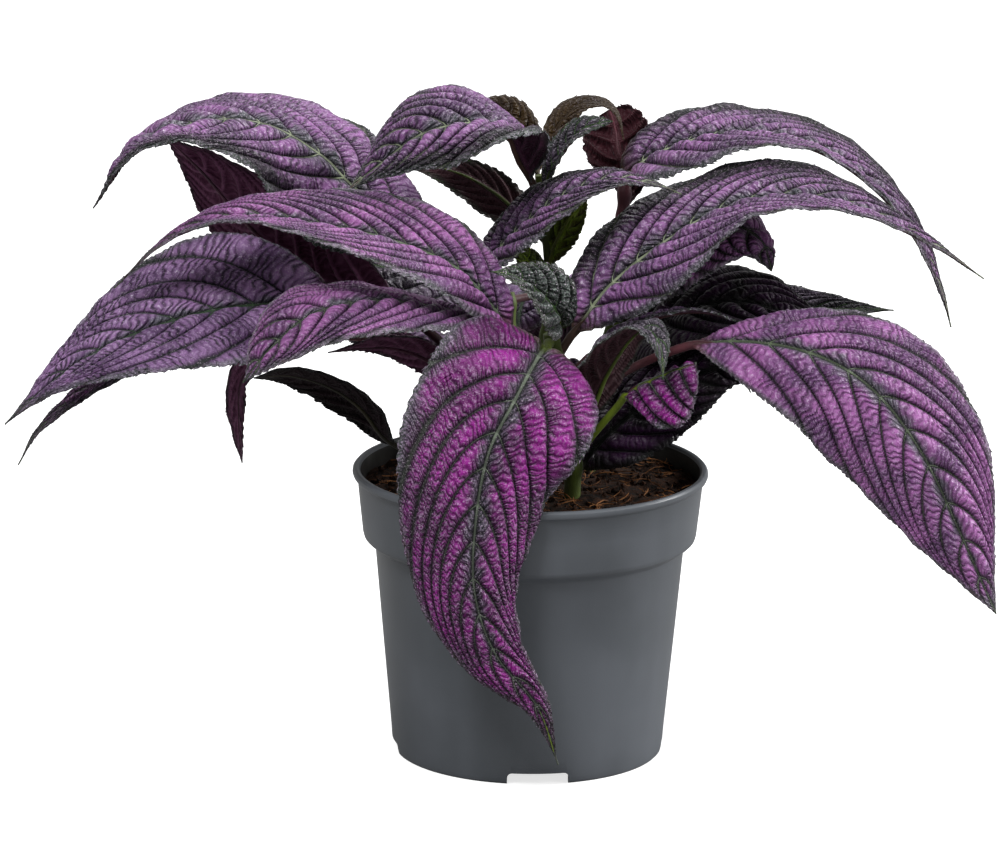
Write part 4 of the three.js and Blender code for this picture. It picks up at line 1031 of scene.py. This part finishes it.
def make_teeth(name, places, seed):
    """Fine teeth along both margins, each leaning towards the tip, with a length of its own."""
    chance = np.random.default_rng(seed)
    moved = []
    for edge, inside, turn in ((places[:, 0], places[:, 2], 1.0), (places[:, -1], places[:, -3], -1.0)):
        at = np.concatenate([[0.0], np.cumsum(np.linalg.norm(np.diff(edge, axis=0), axis=1))])
        count = int(0.9 * at[-1] / TEETH_PITCH)
        where = 0.07 * at[-1] + (np.arange(count) + chance.uniform(-0.3, 0.3, count)) * TEETH_PITCH
        root, inner, ahead = (
            np.stack([np.interp(where + step, at, line[:, axis]) for axis in range(3)], -1)
            for line, step in ((edge, 0.0), (inside, 0.0), (edge, 0.6))
        )
        outward, forward = unit(root - inner), unit(ahead - root + 1e-9)
        flat = unit(np.cross(outward, forward))
        size = chance.uniform(0.8, 1.9, (count, 1, 1))
        lift = (0.3 * turn + chance.uniform(-0.8, 0.8, (count, 1))) * flat
        reach = unit(outward + 0.55 * forward + lift)[:, None] * (SPIKE_PLACES[:, 2] + 0.3)[None, :, None]
        width = forward[:, None] * SPIKE_PLACES[None, :, :1]
        depth = flat[:, None] * 0.6 * SPIKE_PLACES[None, :, 1:2]
        moved.append((root[:, None] + size * (reach + width + depth)).reshape(-1, 3))
    moved = np.concatenate(moved)
    total = len(moved) // len(SPIKE_PLACES)
    starts = [number * len(SPIKE_PLACES) for number in range(total)]
    faces = [tuple(index + start for index in face) for start in starts for face in SPIKE_FACES]
    mesh = bpy.data.meshes.new(name + "_teeth")
    mesh.from_pydata((moved * MM).tolist(), [], faces)
    teeth = bpy.data.objects.new(name + "_teeth", mesh)
    scene.collection.objects.link(teeth)
    return teeth


def make_tube(name, points, radii, sides=3):
    """A round tube through the points, with its own radius at each, closed at both ends."""
    data = bpy.data.curves.new(name, "CURVE")
    data.dimensions = "3D"
    data.bevel_depth = MM
    data.bevel_resolution = sides
    data.use_fill_caps = True
    route = data.splines.new("POLY")
    route.points.add(len(points) - 1)
    for point, place, radius in zip(route.points, points, radii):
        point.co = (*(place * MM), 1.0)
        point.radius = radius
    tube = bpy.data.objects.new(name, data)
    scene.collection.objects.link(tube)
    only(tube)
    bpy.ops.object.convert(target="MESH")
    return bpy.context.object


def make_rib(name, leaf):
    curve = spline(leaf["line"])
    length, stalk = curve["length"], leaf["stalk"]
    distance = np.linspace(0.0, length * RIB_END, RIB_STEPS)
    share = distance / length
    centre, forward = read_line(curve, distance)
    facing = read_steps([unit(np.array(face, float)) for face in leaf["faces"]], share)
    up = unit(facing - forward * np.sum(facing * forward, -1, keepdims=True))
    along = np.clip((distance - stalk) / (length - stalk), 0.0, 1.0)
    full = stalk_radius(leaf)
    half = leaf["width"] / 2 * outline(leaf, along)
    opening = np.clip((half - full * (1 - 0.8 * along)) / FULL_OPENING, 0.0, 1.0)
    radius = full * np.where(along > 0, 0.25 + 0.6 * (1 - along) ** 1.5, 1.0)
    radius = full * (1 - smooth_step(along / 0.1)) + radius * smooth_step(along / 0.1)
    radius *= 1.0 + 0.35 * np.exp(-((distance / 2.5) ** 2))
    radius = np.minimum(radius, 0.25 + 1.2 * full * (1 - along))
    drop = opening * (RIB_GROOVE * 0.85 + radius)
    return make_tube(name + "_rib", centre - up * drop[:, None], radius)


def make_leaf(node, leaf, seed):
    name, tone = node.replace("leaf", "blade"), leaf["tone"]
    blade, places = make_blade(name, leaf, seed)
    for material in (LEAF_TOPS[tone], LEAF_UNDERSIDES[tone]):
        blade.data.materials.append(material)
    apply_modifier(blade, "SOLIDIFY", thickness=BLADE_THICKNESS * MM, offset=0.0, material_offset=1)
    rib = make_rib(name, leaf)
    rib.data.materials.append(STALKS[tone])
    teeth = make_teeth(name, places, seed)
    teeth.data.materials.append(LEAF_EDGES[tone])
    only(rib)
    bpy.ops.object.shade_smooth()
    only(blade)
    rib.select_set(True)
    teeth.select_set(True)
    bpy.ops.object.join()
    finish_piece(blade, node, 55)
    return blade


# %% [markdown]
# ## The pattern of a leaf
# One node group reads the three UV maps and puts out the masks that all leaf finishes share. Band is the
# dark zone along a vein, Line the pale line in its middle, Rung the thin dark lines across, Crest the lit
# tops between them and Stroke the finer strokes. Flank is the part near a vein or the margin, Middle the
# vivid part between midrib and margin. Share runs from foot to tip and Across from the left margin to the
# right. Grain, Sparkle, Mottle and Cloud are noises from fine to coarse, and Height feeds the bump. The
# four inputs are the width of the bands, what they gain near the midrib, and where the vivid part begins
# and ends. The group is built once.

# %% Leaf pattern group
PATTERN_INPUTS = ("Band Width", "Band Spread", "Rib Zone", "Margin Zone")


def leaf_pattern():
    group = bpy.data.node_groups.new("leaf_pattern", "ShaderNodeTree")
    for name in PATTERN_INPUTS:
        group.interface.new_socket(name, in_out="INPUT", socket_type="NodeSocketFloat")
    given = group.nodes.new("NodeGroupInput").outputs
    band_width, band_spread, rib_zone, margin_zone = (Mask(given[name]) for name in PATTERN_INPUTS)
    result = group.nodes.new("NodeGroupOutput")

    def read_map(name):
        node = group.nodes.new("ShaderNodeUVMap")
        node.uv_map = name
        split = group.nodes.new("ShaderNodeSeparateXYZ")
        group.links.new(node.outputs["UV"], split.inputs[0])
        return Mask(split.outputs[0]), Mask(split.outputs[1])

    rib_place, vein_place = read_map("veins")
    rung_place, margin_place = read_map("rungs")
    share, across = read_map("share")
    shift = (noise_value(group, 220.0, 2.0) - 0.5) * 0.9

    from_rib = maths("ABSOLUTE", rib_place - 0.5) * 100.0
    to_vein = vein_place * 20.0 + shift * 0.4
    near = maths("EXPONENT", from_rib * -0.16)
    width = band_width + near * band_spread
    rib_width = 1.5 - share * 0.9
    rib_band = ramp(from_rib, rib_width + 0.6, rib_width * 0.5)
    band = largest(ramp(to_vein, width + 0.5, width * 0.3), rib_band)
    rib_line = ramp(from_rib, rib_width * 0.5, rib_width * 0.28)
    line = largest(ramp(to_vein, 0.3, 0.08) * ramp(near, 0.03, 0.35, 0.2, 1.0), rib_line)

    rung_value = rung_place * 60.0 + shift * 0.8
    to_rung = maths("PINGPONG", rung_value, 0.5) * 2.5
    patchy = noise_value(group, 140.0, 2.0)
    rung = ramp(to_rung, 0.85, 0.05) * ramp(patchy, 0.4, 0.6, 0.25, 1.0)
    dome = ramp(to_rung, 0.0, 1.1) * ramp(to_vein, 0.2, 1.6)
    glint = ramp(noise_value(group, 900.0, 1.0), 0.48, 0.6)
    crest = ramp(dome, 0.35, 0.9) * glint
    stroke = ramp(maths("PINGPONG", rung_value * 2.0, 0.5), 0.06, 0.36)
    side = maths("ABSOLUTE", across * 2.0 - 1.0) + shift * 0.35
    margin_zone = margin_zone + ramp(share, 0.35, 0.65, 0.0, 0.5)
    middle = ramp(side, rib_zone * 0.1, rib_zone) * ramp(side, margin_zone + 0.3, margin_zone)
    flank = largest(ramp(to_vein, 2.4, 0.8), 1.0 - middle)
    margin = ramp(margin_place * 40.0 + shift * 2.4, 2.4, 0.6)
    grain = noise_value(group, 1500.0, 2.0)
    # Sparkle marks where painted glints go: small pale specks.
    sparkle = ramp(noise_value(group, 2300.0, 1.0), 0.62, 0.72)
    mottle = noise_value(group, 520.0, 2.0)
    cloud = noise_value(group, 75.0, 3.0)
    height = dome * 0.9 - rung * 0.5 - band * 0.8 + stroke * flank * 0.3 + grain + line * 0.6
    masks = dict(
        Band=band, Line=line, Rung=rung, Crest=crest, Stroke=stroke, Flank=flank, Middle=middle,
        Margin=margin, Share=share, Across=across, Grain=grain, Sparkle=sparkle, Mottle=mottle, Cloud=cloud,
        Height=height,
    )
    for name, mask in masks.items():
        group.interface.new_socket(name, in_out="OUTPUT", socket_type="NodeSocketFloat")
        put(result.inputs[name], mask)
    return group


LEAF_PATTERN = leaf_pattern()
print("leaf pattern nodes:", len(LEAF_PATTERN.nodes))


# %% [markdown]
# ## Leaf finishes
# The upper face is purple. A silver sheen is painted on the swellings as painted highlight and reflection,
# dark green-black bands follow the veins, and the margin turns grey-green. The underside is maroon, with
# paler raised veins. Eleven tones follow the photo, from the vivid front leaf to the shaded ones behind,
# whose dark colours are painted shade. Veins, rungs and the sheen level say how strongly each shows, hatch
# how far the strokes break up the colour near the veins, and the left shade how far the left margin is
# painted darker as shade. Bands and zones are the inputs of the pattern. What most tones share stands in
# USUAL_TONE.

# %% Leaf colours
USUAL_TONE = dict(veins=1.0, rungs=0.6, hatch=0.2, left_painted_shade=0.0, bands=(0.35, 0.4), zones=(0.2, 0.8))
TONES = {
    "vivid": dict(
        deep=(80, 8, 76), bright=(134, 20, 126), pale=(44, 46, 54), silver=(198, 174, 206), sheen_level=0.4,
        dark=(6, 12, 9), line=(112, 122, 106), edge=(58, 66, 62), rung=(24, 8, 26), under=(46, 14, 30),
        under_rib=(76, 40, 56), stalk=(104, 122, 28), hatch=0.75, bands=(0.45, 0.5), zones=(0.22, 0.74),
    ),
    "plum": dict(
        deep=(82, 52, 90), bright=(130, 82, 136), pale=(64, 70, 72), silver=(184, 172, 192), sheen_level=0.45,
        dark=(9, 15, 11), line=(156, 166, 136), edge=(48, 60, 50), rung=(26, 14, 30), under=(46, 14, 34),
        under_rib=(76, 40, 62), stalk=(84, 60, 50), rungs=0.8, hatch=0.55, left_painted_shade=0.9, bands=(0.34, 0.5),
        zones=(0.22, 0.8),
    ),
    "rose": dict(
        deep=(98, 60, 104), bright=(150, 90, 150), pale=(86, 86, 94), silver=(194, 172, 202), sheen_level=0.4,
        dark=(12, 18, 15), line=(98, 112, 86), edge=(84, 92, 86), rung=(44, 20, 46), under=(76, 32, 60),
        under_rib=(98, 56, 84), stalk=(110, 62, 70), veins=0.95, hatch=0.5, bands=(0.34, 0.5),
        zones=(0.16, 0.84),
    ),
    "mauve": dict(
        deep=(94, 66, 104), bright=(140, 104, 150), pale=(92, 90, 102), silver=(184, 170, 196), sheen_level=0.4,
        dark=(12, 16, 16), line=(62, 86, 60), edge=(74, 80, 76), rung=(32, 22, 38), under=(52, 20, 38),
        under_rib=(82, 48, 70), stalk=(72, 34, 40), rungs=0.9, hatch=0.15, bands=(0.2, 0.35),
        zones=(0.12, 0.88),
    ),
    # The shade tone is painted shade: very dark colours for the leaves deep inside the plant, where shade
    # falls.
    "shade": dict(
        deep=(13, 7, 12), bright=(44, 14, 48), pale=(16, 15, 17), silver=(46, 36, 48), sheen_level=0.08,
        dark=(5, 7, 6), line=(22, 28, 20), edge=(17, 20, 18), rung=(9, 6, 9), under=(20, 9, 12),
        under_rib=(34, 20, 26), stalk=(44, 40, 22), veins=0.7, rungs=0.4, bands=(0.4, 0.4),
        zones=(0.2, 0.7),
    ),
    "maroon": dict(
        deep=(70, 30, 60), bright=(104, 48, 90), pale=(60, 38, 56), silver=(116, 86, 110), sheen_level=0.3,
        dark=(16, 14, 16), line=(60, 44, 54), edge=(46, 40, 44), rung=(30, 14, 30), under=(80, 33, 61),
        under_rib=(136, 86, 118), stalk=(112, 64, 88), veins=0.7, hatch=0.1, zones=(0.15, 0.85),
    ),
    "wine": dict(
        deep=(46, 12, 20), bright=(74, 22, 36), pale=(52, 20, 28), silver=(86, 44, 56), sheen_level=0.15,
        dark=(34, 10, 15), line=(60, 26, 32), edge=(40, 18, 22), rung=(34, 12, 18), under=(50, 14, 24),
        under_rib=(60, 20, 30), stalk=(80, 32, 44), veins=0.3, rungs=0.1, hatch=0.0, bands=(0.3, 0.3),
        zones=(0.1, 0.9),
    ),
    "young": dict(
        deep=(38, 26, 13), bright=(62, 46, 22), pale=(54, 40, 26), silver=(104, 90, 62), sheen_level=0.2,
        dark=(24, 15, 10), line=(56, 42, 22), edge=(44, 32, 20), rung=(26, 16, 10), under=(44, 24, 14),
        under_rib=(62, 38, 22), stalk=(64, 52, 26), veins=0.45, rungs=0.4, bands=(0.3, 0.3),
        zones=(0.15, 0.85),
    ),
    "grey": dict(
        deep=(58, 50, 62), bright=(100, 84, 106), pale=(60, 66, 60), silver=(164, 160, 170), sheen_level=0.6,
        dark=(12, 20, 15), line=(62, 96, 40), edge=(50, 62, 52), rung=(18, 20, 22), under=(48, 20, 28),
        under_rib=(70, 44, 50), stalk=(84, 100, 30), veins=0.75, hatch=0.4,
    ),
    "hairy": dict(
        deep=(22, 30, 26), bright=(46, 54, 50), pale=(30, 40, 32), silver=(170, 182, 174), sheen_level=0.9,
        dark=(8, 13, 10), line=(70, 100, 52), edge=(60, 58, 54), rung=(14, 18, 16), under=(48, 20, 28),
        under_rib=(70, 44, 50), stalk=(84, 100, 30), veins=0.8, rungs=0.5, hatch=0.3,
    ),
    "green": dict(
        deep=(44, 58, 12), bright=(86, 108, 22), pale=(58, 66, 20), silver=(126, 138, 76), sheen_level=0.2,
        dark=(28, 38, 12), line=(120, 146, 34), edge=(46, 32, 20), rung=(34, 42, 14), under=(52, 38, 24),
        under_rib=(96, 118, 28), stalk=(104, 118, 26), veins=0.5, rungs=0.4, bands=(0.3, 0.3),
        zones=(0.15, 0.85),
    ),
}


def pattern_node(tree, bands, zones):
    node = tree.nodes.new("ShaderNodeGroup")
    node.node_tree = LEAF_PATTERN
    for name, value in zip(PATTERN_INPUTS, (*bands, *zones)):
        node.inputs[name].default_value = value
    return {socket.name: Mask(socket) for socket in node.outputs}


def read_tone(tone):
    """The amounts of a tone as they stand, and its colours as linear values."""
    facts = {**USUAL_TONE, **TONES[tone]}
    is_colour = {name: isinstance(value, tuple) and len(value) == 3 for name, value in facts.items()}
    return {name: paint(*value) if is_colour[name] else value for name, value in facts.items()}


def leaf_top(tone):
    colours = read_tone(tone)
    sheen_level, veins, hatch = colours["sheen_level"], colours["veins"], colours["hatch"]
    material, tree, shader = new_material(
        "leaf_top_" + tone, Roughness=0.4, Specular_IOR_Level=0.22, Sheen_Weight=0.03, Sheen_Roughness=0.4,
        Coat_Roughness=0.3,
    )
    masks = pattern_node(tree, colours["bands"], colours["zones"])
    body = blend(ramp(masks["Cloud"], 0.36, 0.62), colours["deep"], colours["bright"])
    colour = blend(masks["Middle"], colours["pale"], body)
    ladder = masks["Flank"] * (1.0 - masks["Stroke"])
    colour = blend(ladder * (hatch * veins), colour, colours["dark"])
    # Painted sheen and highlight: pale silver on the lit pillow tops (Crest) and in mottled patches; the
    # pale strokes near the veins are the leaf's own pattern.
    sheen_and_strokes = largest(masks["Flank"] * masks["Stroke"] * (0.8 * hatch), masks["Crest"] * 0.75)
    sheen_and_strokes = (sheen_and_strokes + ramp(masks["Mottle"], 0.48, 0.66, 0.0, 0.3)) * ramp(masks["Grain"], 0.4, 0.62)
    colour = blend(sheen_and_strokes * sheen_level, colour, colours["silver"])
    colour = blend(masks["Rung"] * colours["rungs"], colour, colours["rung"])
    # Painted shade: the left margin, the far side of the leaf, darkens towards the dark colour by the tone's
    # amount.
    left_shade_mask = masks["Across"] + (masks["Mottle"] - 0.5) * 0.3
    left_shade_mask = ramp(left_shade_mask, 0.3, 0.08, 0.0, colours["left_painted_shade"])
    colour = blend(left_shade_mask, colour, colours["dark"])
    speckle = ramp(masks["Grain"], 0.45, 0.65)
    edge = blend(speckle * 0.4, colours["edge"], colours["silver"])
    colour = blend(masks["Margin"] * 0.7, colour, edge)
    colour = blend(masks["Band"] * (0.92 * veins), colour, colours["dark"])
    fading = masks["Line"] * ramp(masks["Share"], 0.0, 0.7, 0.9, 0.5)
    colour = blend(fading, colour, colours["line"])
    # Painted glints: pale specks where the Sparkle noise peaks.
    colour = blend(masks["Sparkle"] * (0.8 * sheen_level), colour, paint(214, 196, 214))
    colour = blend(ramp(masks["Share"], 0.07, 0.0, 0.0, 0.8), colour, colours["stalk"])
    put(shader.inputs["Base Color"], colour)
    gloss = ramp(masks["Grain"], 0.35, 0.65, 0.44, 0.28) + masks["Band"] * 0.25
    put(shader.inputs["Roughness"], gloss)
    put(shader.inputs["Coat Weight"], masks["Crest"] * (0.8 * sheen_level))
    bump_into(shader, masks["Height"], 0.85, 0.0005)
    return material


def leaf_underside(tone):
    colours = read_tone(tone)
    material, tree, shader = new_material(
        "leaf_under_" + tone, Roughness=0.55, Specular_IOR_Level=0.22, Sheen_Weight=0.04,
        Sheen_Roughness=0.5,
    )
    masks = pattern_node(tree, (0.22, 0.3), colours["zones"])
    cloudy = ramp(masks["Cloud"], 0.3, 0.7, 0.0, 0.35)
    body = blend(cloudy, colours["under"], colours["under_rib"])
    raised = largest(masks["Band"] * 0.9, masks["Rung"] * 0.5)
    colour = blend(raised, body, colours["under_rib"])
    colour = blend(masks["Margin"] * 0.5, colour, colours["edge"])
    put(shader.inputs["Base Color"], colour)
    put(shader.inputs["Roughness"], ramp(masks["Grain"], 0.3, 0.7, 0.45, 0.65))
    bump_into(shader, masks["Height"], 0.8, -0.0005)
    return material


def leaf_edge(tone):
    colours = read_tone(tone)
    material, tree, shader = new_material(
        "leaf_edge_" + tone, Roughness=0.5, Specular_IOR_Level=0.22, Sheen_Weight=0.1, Sheen_Roughness=0.5
    )
    speckle = ramp(noise_value(tree, 900.0, 1.0), 0.42, 0.62, 0.0, 0.4)
    put(shader.inputs["Base Color"], blend(speckle, colours["edge"], colours["silver"]))
    return material


def stalk_finish(tone):
    colour = TONES[tone]["stalk"]
    darker = paint(*(0.6 * part for part in colour))
    material, tree, shader = new_material(
        "stalk_" + tone, Roughness=0.5, Specular_IOR_Level=0.25, Sheen_Weight=0.1, Sheen_Roughness=0.5
    )
    patch = noise_value(tree, 90.0, 3.0, (1.0, 1.0, 0.4))
    colour = blend(ramp(patch, 0.35, 0.68), darker, paint(*colour))
    put(shader.inputs["Base Color"], colour)
    bump_into(shader, noise_value(tree, 1500.0, 2.0), 0.5, 0.0003)
    return material


LEAF_TOPS = {tone: leaf_top(tone) for tone in TONES}
LEAF_UNDERSIDES = {tone: leaf_underside(tone) for tone in TONES}
LEAF_EDGES = {tone: leaf_edge(tone) for tone in TONES}
STALKS = {tone: stalk_finish(tone) for tone in TONES}
print("leaf finishes:", sum(len(finishes) for finishes in (LEAF_TOPS, LEAF_UNDERSIDES, LEAF_EDGES, STALKS)))

# %% [markdown]
# ## The leaves
# Each leaf of the table is made in turn. Its number is the seed of its random draws.

# %% Make the leaves
leaves = [
    make_leaf(node, {**USUAL_LEAF, **facts}, seed) for seed, (node, facts) in enumerate(LEAVES.items(), 1)
]
print("leaves:", len(leaves), "faces:", sum(len(leaf.data.polygons) for leaf in leaves))

# %% [markdown]
# ## The stems
# A stem is a tapered tube with a swelling at each leaf node, green-brown and finely hairy. The top of the
# right stem is maroon.

# %% Make the stems
MAROON_ABOVE = {"stem_right": 150.0}
STEM_STEPS = 90
NODE_SWELLING = 0.8
NODE_REACH = 3.0

for name, stem in STEMS.items():
    curve = spline(stem["line"])
    distance = np.linspace(0.0, curve["length"], STEM_STEPS)
    centre, _ = read_line(curve, distance)
    share = distance / curve["length"]
    radius = stem["radii"][0] + (stem["radii"][1] - stem["radii"][0]) * share
    for node_height in stem["nodes"]:
        radius = radius + NODE_SWELLING * np.exp(-(((centre[:, 2] - node_height) / NODE_REACH) ** 2))
    tube = make_tube(name.replace("stem", "stalk"), centre, radius, 5)
    tube.data.materials.append(STALKS["grey"])
    tube.data.materials.append(STALKS["wine"])
    for face in tube.data.polygons:
        if face.center.z > MAROON_ABOVE.get(name, math.inf) * MM:
            face.material_index = 1
    finish_piece(tube, name, 60)
print("stems:", len(STEMS))

# %% [markdown]
# ## Floor and light
# The floor is a large, plain, very pale plane. It glows a little for the camera, so that it stays white up
# to the pot, and sends less light up to the plant than it seems to. The light is an even surround, as in a
# white studio, and four soft lamps: the key at the front left, a fill and a side lamp on the right, and one
# behind that lights the upper faces of the leaves.

# %% Floor
bpy.ops.object.select_all(action="DESELECT")
bpy.ops.mesh.primitive_plane_add(size=14.0, location=(0.0, 0.0, 0.0))
floor = bpy.context.object
floor.name = "floor"
floor_material, floor_tree, floor_shader = new_material("pale_floor", Roughness=0.9, Specular_IOR_Level=0.1)
floor.data.materials.append(floor_material)
camera_ray = Mask(floor_tree.nodes.new("ShaderNodeLightPath").outputs["Is Camera Ray"])
for socket, sent_back, seen in (("Base Color", 0.24, 0.5), ("Emission Color", 0.0, 0.72)):
    greys = ((grey, grey, grey, 1.0) for grey in (sent_back, seen))
    put(floor_shader.inputs[socket], blend(camera_ray, *greys))
floor_shader.inputs["Emission Strength"].default_value = 1.0

# %% Light
def soft_lamp(name, place, size, power):
    data = bpy.data.lights.new(name, "AREA")
    data.shape = "DISK"
    data.size = size
    data.energy = power
    lamp = bpy.data.objects.new(name, data)
    scene.collection.objects.link(lamp)
    lamp.location = place
    aim = Vector((0.0, 0.0, 0.12)) - Vector(place)
    lamp.rotation_euler = aim.to_track_quat("-Z", "Y").to_euler()


soft_lamp("key", (-0.7, -1.3, 2.0), 0.7, 44.0)
soft_lamp("fill", (1.7, -0.8, 1.2), 1.0, 16.0)
soft_lamp("side", (1.9, 0.4, 1.0), 1.0, 46.0)
soft_lamp("top_back", (0.0, 1.0, 2.0), 0.9, 24.0)
surround = bpy.data.worlds.new("surround")
surround.use_nodes = True
surround.node_tree.nodes["Background"].inputs["Color"].default_value = (1.0, 1.0, 1.0, 1.0)
surround.node_tree.nodes["Background"].inputs["Strength"].default_value = 0.42
scene.world = surround
scene.view_settings.view_transform = "Standard"
scene.view_settings.look = "None"
